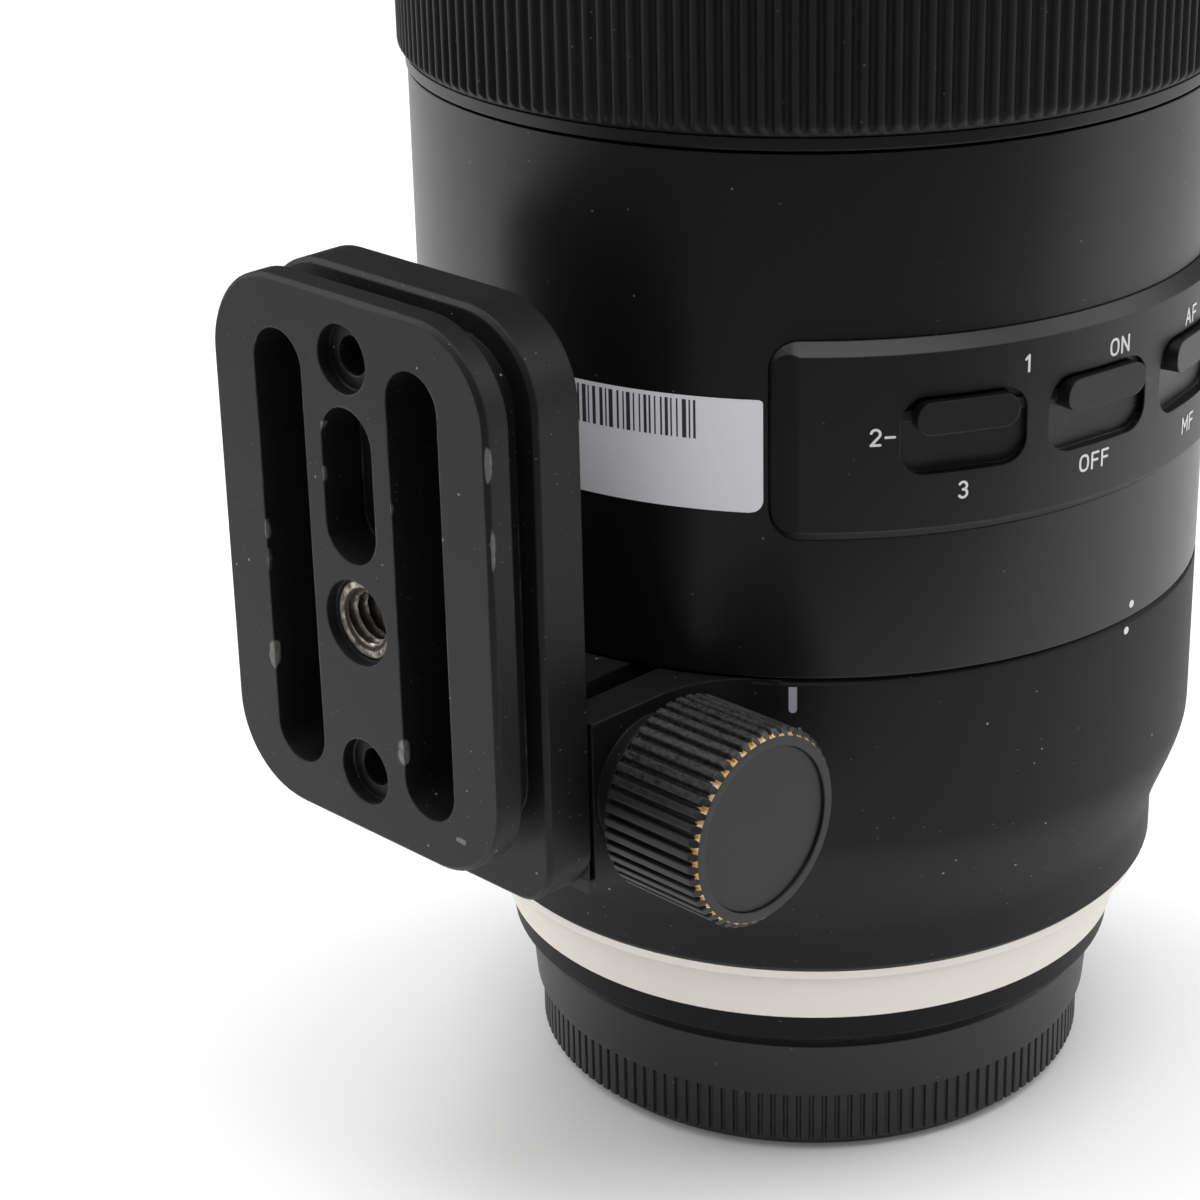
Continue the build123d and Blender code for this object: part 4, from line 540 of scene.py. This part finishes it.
def arc(x, y, r, start, end, steps=14):
    """Points on a circle, angles in degrees."""
    turn = np.radians(np.linspace(start, end, steps))
    return [(x + r * math.cos(t), y + r * math.sin(t)) for t in turn]


def oval(w):
    """Closed letter O: a rounded oval of width w and height 1."""
    turn = np.linspace(0, 2 * np.pi, 41)
    c, s = np.cos(turn), np.sin(turn)
    x = w / 2 * (1 + np.sign(c) * abs(c) ** 0.8)
    y = 0.5 * (1 + np.sign(s) * abs(s) ** 0.8)
    return list(zip(x, y))


# Single-line letters: width, then strokes, all as shares of the letter height
GLYPHS = {
    "O": (0.66, [oval(0.66)]),
    "N": (0.62, [[(0, 0), (0, 1)], [(0, 1), (0.62, 0)], [(0.62, 0), (0.62, 1)]]),
    "F": (0.52, [[(0, 0), (0, 1)], [(0, 1), (0.52, 1)], [(0, 0.52), (0.46, 0.52)]]),
    "A": (0.66, [[(0, 0), (0.33, 1)], [(0.33, 1), (0.66, 0)], [(0.12, 0.34), (0.54, 0.34)]]),
    "M": (0.76, [[(0, 0), (0, 1)], [(0, 1), (0.38, 0.32)], [(0.38, 0.32), (0.76, 1)],
                 [(0.76, 1), (0.76, 0)]]),
    "1": (0.22, [[(0, 0.78), (0.22, 1)], [(0.22, 1), (0.22, 0)]]),
    "2": (0.56, [arc(0.28, 0.72, 0.28, 165, -38) + [(0, 0)], [(0, 0), (0.56, 0)]]),
    "3": (0.53, [arc(0.26, 0.75, 0.25, 150, -90), arc(0.26, 0.25, 0.27, 90, -150)]),
    "-": (0.55, [[(0, 0.47), (0.55, 0.47)]]),
}
LETTER_GAP = 0.34

# Text, azimuth and height of its middle
LEGENDS = (("1", 70.0, 95.5), ("3", 61.4, 83.4), ("2-", 50.8, 89.6), ("ON", 85.2, 95.0), ("OFF", 81.3, 83.6),
           ("AF", 102.2, 94.8), ("MF", 102.9, 82.9))


def stroke_strip(line, half):
    """Flat strip along a line with half-round ends: outline points left and right of every sample."""
    line = np.array(line, float)
    along = np.gradient(line, axis=0)
    closed = len(line) > 4 and np.allclose(line[0], line[-1], atol=1e-6)
    if closed:
        along[0] = along[-1] = line[1] - line[-2]
    along /= np.linalg.norm(along, axis=1)[:, None]
    side = np.stack([-along[:, 1], along[:, 0]], -1) * half
    mids, sides = [line], [side]
    if not closed:
        turn = np.radians(np.linspace(75, 15, 5))
        start = [(line[0] - along[0] * half * math.sin(t), side[0] * math.cos(t)) for t in turn]
        end = [(line[-1] + along[-1] * half * math.sin(t), side[-1] * math.cos(t)) for t in turn[::-1]]
        mids = [[p for p, _ in start], line, [p for p, _ in end]]
        sides = [[q for _, q in start], side, [q for _, q in end]]
    mids, sides = np.vstack(mids), np.vstack(sides)
    return mids + sides, mids - sides


def legends():
    """Printed switch legends, laid on the panel's curve."""
    points, faces = [], []
    lift = PAINT_LIFT
    for text, azimuth, height in LEGENDS:
        widths = [GLYPHS[letter][0] for letter in text]
        cursor = -(sum(widths) + LETTER_GAP * (len(text) - 1)) / 2.0
        for letter, width in zip(text, widths):
            for line in GLYPHS[letter][1]:
                flat = [((x + cursor) * LEGEND_H, (y - 0.5) * LEGEND_H) for x, y in line]
                left, right = stroke_strip(flat, LEGEND_STROKE / 2.0)
                lift += 0.0006
                first = sum(len(p) for p in points)
                n = len(left)
                flat = np.vstack([left, right])
                points.append(on_barrel(azimuth + np.degrees(flat[:, 0] / PANEL_R), height + flat[:, 1],
                                        PANEL_R + lift))
                faces += [(first + n + i, first + n + i + 1, first + i + 1, first + i) for i in range(n - 1)]
            cursor += width + LETTER_GAP
    piece("switch_legends", np.vstack(points), faces, "legend", "barrel")


# Painted marks: name, azimuth, lower and upper end, finish, body
MARKS = (("barrel_index_dot", 93.0, 64.3, 65.15, "legend", "barrel"),
         ("collar_index_dot", 92.0, 61.5, 62.35, "legend", "collar"),
         ("collar_index_line", 39.5, 59.5, 62.4, "index", "collar"))


def painted_mark(name, azimuth, z0, z1, finish, body):
    """Short painted line with a half-round lower end, or a dot when its length is its width."""
    turn = np.radians(np.linspace(180, 360, 13))
    half = MARK_W / 2.0
    low = np.stack([half * np.cos(turn), z0 + half + half * np.sin(turn)], -1)
    if z1 - z0 > MARK_W * 1.01:
        flat = np.vstack([low, [(half, z1), (-half, z1)]])
    else:
        flat = np.vstack([low, [(-x, 2 * (z0 + half) - z) for x, z in low[1:-1]]])
    points = on_barrel(azimuth + np.degrees(flat[:, 0] / BARREL_R), flat[:, 1], BARREL_R + PAINT_LIFT)
    piece(name, points, [tuple(range(len(flat)))], finish, body)


def tripod_bush():
    """Threaded steel bush. Radius of the bore = minor radius + thread depth * rounded triangle wave of
    (distance from the mouth / pitch - turn)."""
    source = frame["nodes"]["thread_insert"].data
    place = np.array([v.co[:] for v in source.vertices]) / MM
    y0, y1 = place[:, 1].min(), place[:, 1].max()
    outer = (place[:, 0].max() - place[:, 0].min()) / 2.0
    columns = 72
    turn = np.linspace(0, 2 * np.pi, columns, endpoint=False)
    y = np.arange(y0 + THREAD_MOUTH, y1, THREAD_PITCH / 12.0)
    phase = (y - y0)[:, None] / THREAD_PITCH - turn[None, :] / (2 * np.pi)
    wave = np.abs(2 * (phase % 1.0) - 1)
    bore = THREAD_MINOR_R + (THREAD_MAJOR_R - THREAD_MINOR_R) * wave ** 0.8
    ends = np.array([[outer, y1], [outer, y0 + THREAD_MOUTH], [outer - THREAD_MOUTH, y0],
                     [THREAD_MAJOR_R + 0.22, y0]])
    radius = np.vstack([np.repeat(ends[:, :1], columns, 1), bore])
    depth = np.concatenate([ends[:, 1], y])
    points = np.stack([radius * np.cos(turn), np.repeat(depth[:, None], columns, 1),
                       THREAD_Z + radius * np.sin(turn)], -1)
    faces = grid_faces(len(depth), columns, closed_rows=True, closed_columns=True)[:, ::-1]
    piece("thread_insert_turned", points.reshape(-1, 3), faces, "bush", BODY_OF["thread_insert"],
          40.0, ("thread_insert",))


# Finishes of the nodes that a joined copy replaces
OUTER_FINISH = {
    "main_barrel": "barrel", "scale_band": "barrel", "front_barrel": "barrel", "focus_ring": "barrel",
    "zoom_ring": "barrel", "rear_barrel": "inner", "tripod_collar": "foot", "switch_panel": "panel",
    "rear_cap": "cap", "mount_ring": "mount", "accent_ring": "accent", "clamp_knob": "knob",
    "knob_cap": "knob_face", "clamp_washer": "inner", "clamp_screw": "steel",
    "rear_bayonet": "chrome", "contact_block": "cap", "distance_window": "window",
    "front_cell": "inner", "front_trim_ring": "inner", "front_glass": "glass",
    "stabiliser_mode_switch": "slider", "stabiliser_switch": "slider", "focus_mode_switch": "slider",
    "focus_limit_switch": "slider",
}
# Finishes of nodes that stay as they are; the others inside are black anodised
INNER_FINISH = {
    "mount_screws": "steel", "contact_pins": "gold", "circuit_board": "board", "motor_stator": "motor",
    "motor_rotor": "motor", "focus_glass": "glass", "variator_glass": "glass", "compensator_glass": "glass",
    "rear_glass": "glass", "stabiliser_glass": "glass",
}
REMADE = ("focus_grip", "zoom_grip", "stock_label", "thread_insert")
SMOOTH_ANGLE = 28.0
PANEL_SMOOTH_ANGLE = 11.0


def make_parts():
    """Finished copies of the outer nodes, materials for the rest, and the pieces made here."""
    for node, finish in OUTER_FINISH.items():
        refined(node, finish, PANEL_SMOOTH_ANGLE if node == "switch_panel" else SMOOTH_ANGLE)
    for node, obj in frame["nodes"].items():
        if node in OUTER_FINISH or node in REMADE:
            continue
        finish = FINISH[INNER_FINISH.get(node, "inner")]
        for place in obj.material_slots:
            place.material = finish
    ribbed_grip("focus_grip_ribs", FOCUS_GRIP_Z, "focus_control", "focus_grip")
    ribbed_grip("zoom_grip_ribs", ZOOM_GRIP_Z, "zoom_control", "zoom_grip")
    label()
    label_bars()
    legends()
    tripod_bush()
    for mark in MARKS:
        painted_mark(*mark)


make_parts()


# Studio
CAMERA_AZ = math.radians(45.90)
CAMERA_EL = math.radians(23.36)
CAMERA_ROLL = math.radians(-1.45)
CAMERA_PLACE = (219.26, -245.91, 195.96)
FOCAL_PIXELS = 3127.01
PHOTO_PIXELS = 1200.0
SENSOR_MM = 36.0
# The floor ends this far in front of the lens, in metres, so that the barrel mirrors the dark
TABLE_EDGE = 0.15
TABLE_SIDE = 0.9
WORLD_MIRRORED = 0.16
WORLD_LIGHT = 0.58

# Softboxes: name, place, width and height, power
SOFTBOXES = (("left_softbox", (-1.35, -0.63, 1.0), (1.25, 1.6), 14.5),
             ("right_softbox", (1.0, 1.35, 1.1), (1.25, 1.6), 14.5),
             ("top_softbox", (0.1, -0.1, 2.0), (1.8, 1.8), 31.0))
SOFTBOX_AIM = Vector((0, 0, 0.1))


def studio():
    """Pale floor with painted shade that darkens it away from the lens, three softboxes, and a world that
    looks white, mirrors dark and lights softly.
    """
    mesh = bpy.data.meshes.new("floor")
    toward = Vector((math.sin(CAMERA_AZ), -math.cos(CAMERA_AZ), 0))
    across = Vector((math.cos(CAMERA_AZ), math.sin(CAMERA_AZ), 0)) * TABLE_SIDE
    front, back = toward * TABLE_EDGE, toward * -TABLE_SIDE
    mesh.from_pydata([front - across, front + across, back + across, back - across], [], [(0, 1, 2, 3)])
    f = Finish("floor_white")
    x, y, z = f.axes()
    # Painted shade: the floor's colour falls from 0.90 near the lens to 0.79 beyond about half a metre,
    # standing in for dimmer light far off.
    far_painted_shade = (x * x + y * y).power(0.5).step(0.13, 0.55)
    f.surface(Base_Color=f.blend(far_painted_shade, (0.90, 0.90, 0.90), (0.79, 0.79, 0.79)), Roughness=0.6)
    mesh.materials.append(f.material)
    floor = bpy.data.objects.new("floor", mesh)
    bpy.context.scene.collection.objects.link(floor)

    for name, place, size, power in SOFTBOXES:
        data = bpy.data.lights.new(name, "AREA")
        data.shape = "RECTANGLE"
        data.size, data.size_y = size
        data.energy = power
        obj = bpy.data.objects.new(name, data)
        bpy.context.scene.collection.objects.link(obj)
        obj.location = place
        obj.rotation_euler = (SOFTBOX_AIM - Vector(place)).to_track_quat("-Z", "Y").to_euler()

    world = bpy.data.worlds.new("studio")
    bpy.context.scene.world = world
    world.use_nodes = True
    tree = world.node_tree
    back = tree.nodes["Background"]
    path = tree.nodes.new("ShaderNodeLightPath")
    seen = Value(tree, path.outputs["Is Camera Ray"])
    mirrored = Value(tree, path.outputs["Is Glossy Ray"])
    back.inputs["Color"].default_value = (1.0, 1.0, 1.0, 1.0)
    level = seen + mirrored * WORLD_MIRRORED + (1.0 - seen - mirrored) * WORLD_LIGHT
    feed(tree, back.inputs["Strength"], level)


def camera():
    """The photograph's view, as fitted to the lens's circles and the foot's edges."""
    a, e, roll = CAMERA_AZ, CAMERA_EL, CAMERA_ROLL
    back = Vector((math.sin(a) * math.cos(e), -math.cos(a) * math.cos(e), math.sin(e)))
    right = Vector((math.cos(a), math.sin(a), 0))
    up = back.cross(right)
    turned_right = math.cos(roll) * right + math.sin(roll) * up
    turned_up = -math.sin(roll) * right + math.cos(roll) * up
    data = bpy.data.cameras.new("camera")
    data.sensor_width = SENSOR_MM
    data.lens = FOCAL_PIXELS / PHOTO_PIXELS * SENSOR_MM
    data.clip_start = 0.01
    obj = bpy.data.objects.new("camera", data)
    bpy.context.scene.collection.objects.link(obj)
    matrix = Matrix((turned_right, turned_up, back)).transposed().to_4x4()
    matrix.translation = Vector(CAMERA_PLACE) * MM
    obj.matrix_world = matrix
    bpy.context.scene.camera = obj


studio()
camera()
bpy.context.scene.view_settings.view_transform = "Standard"
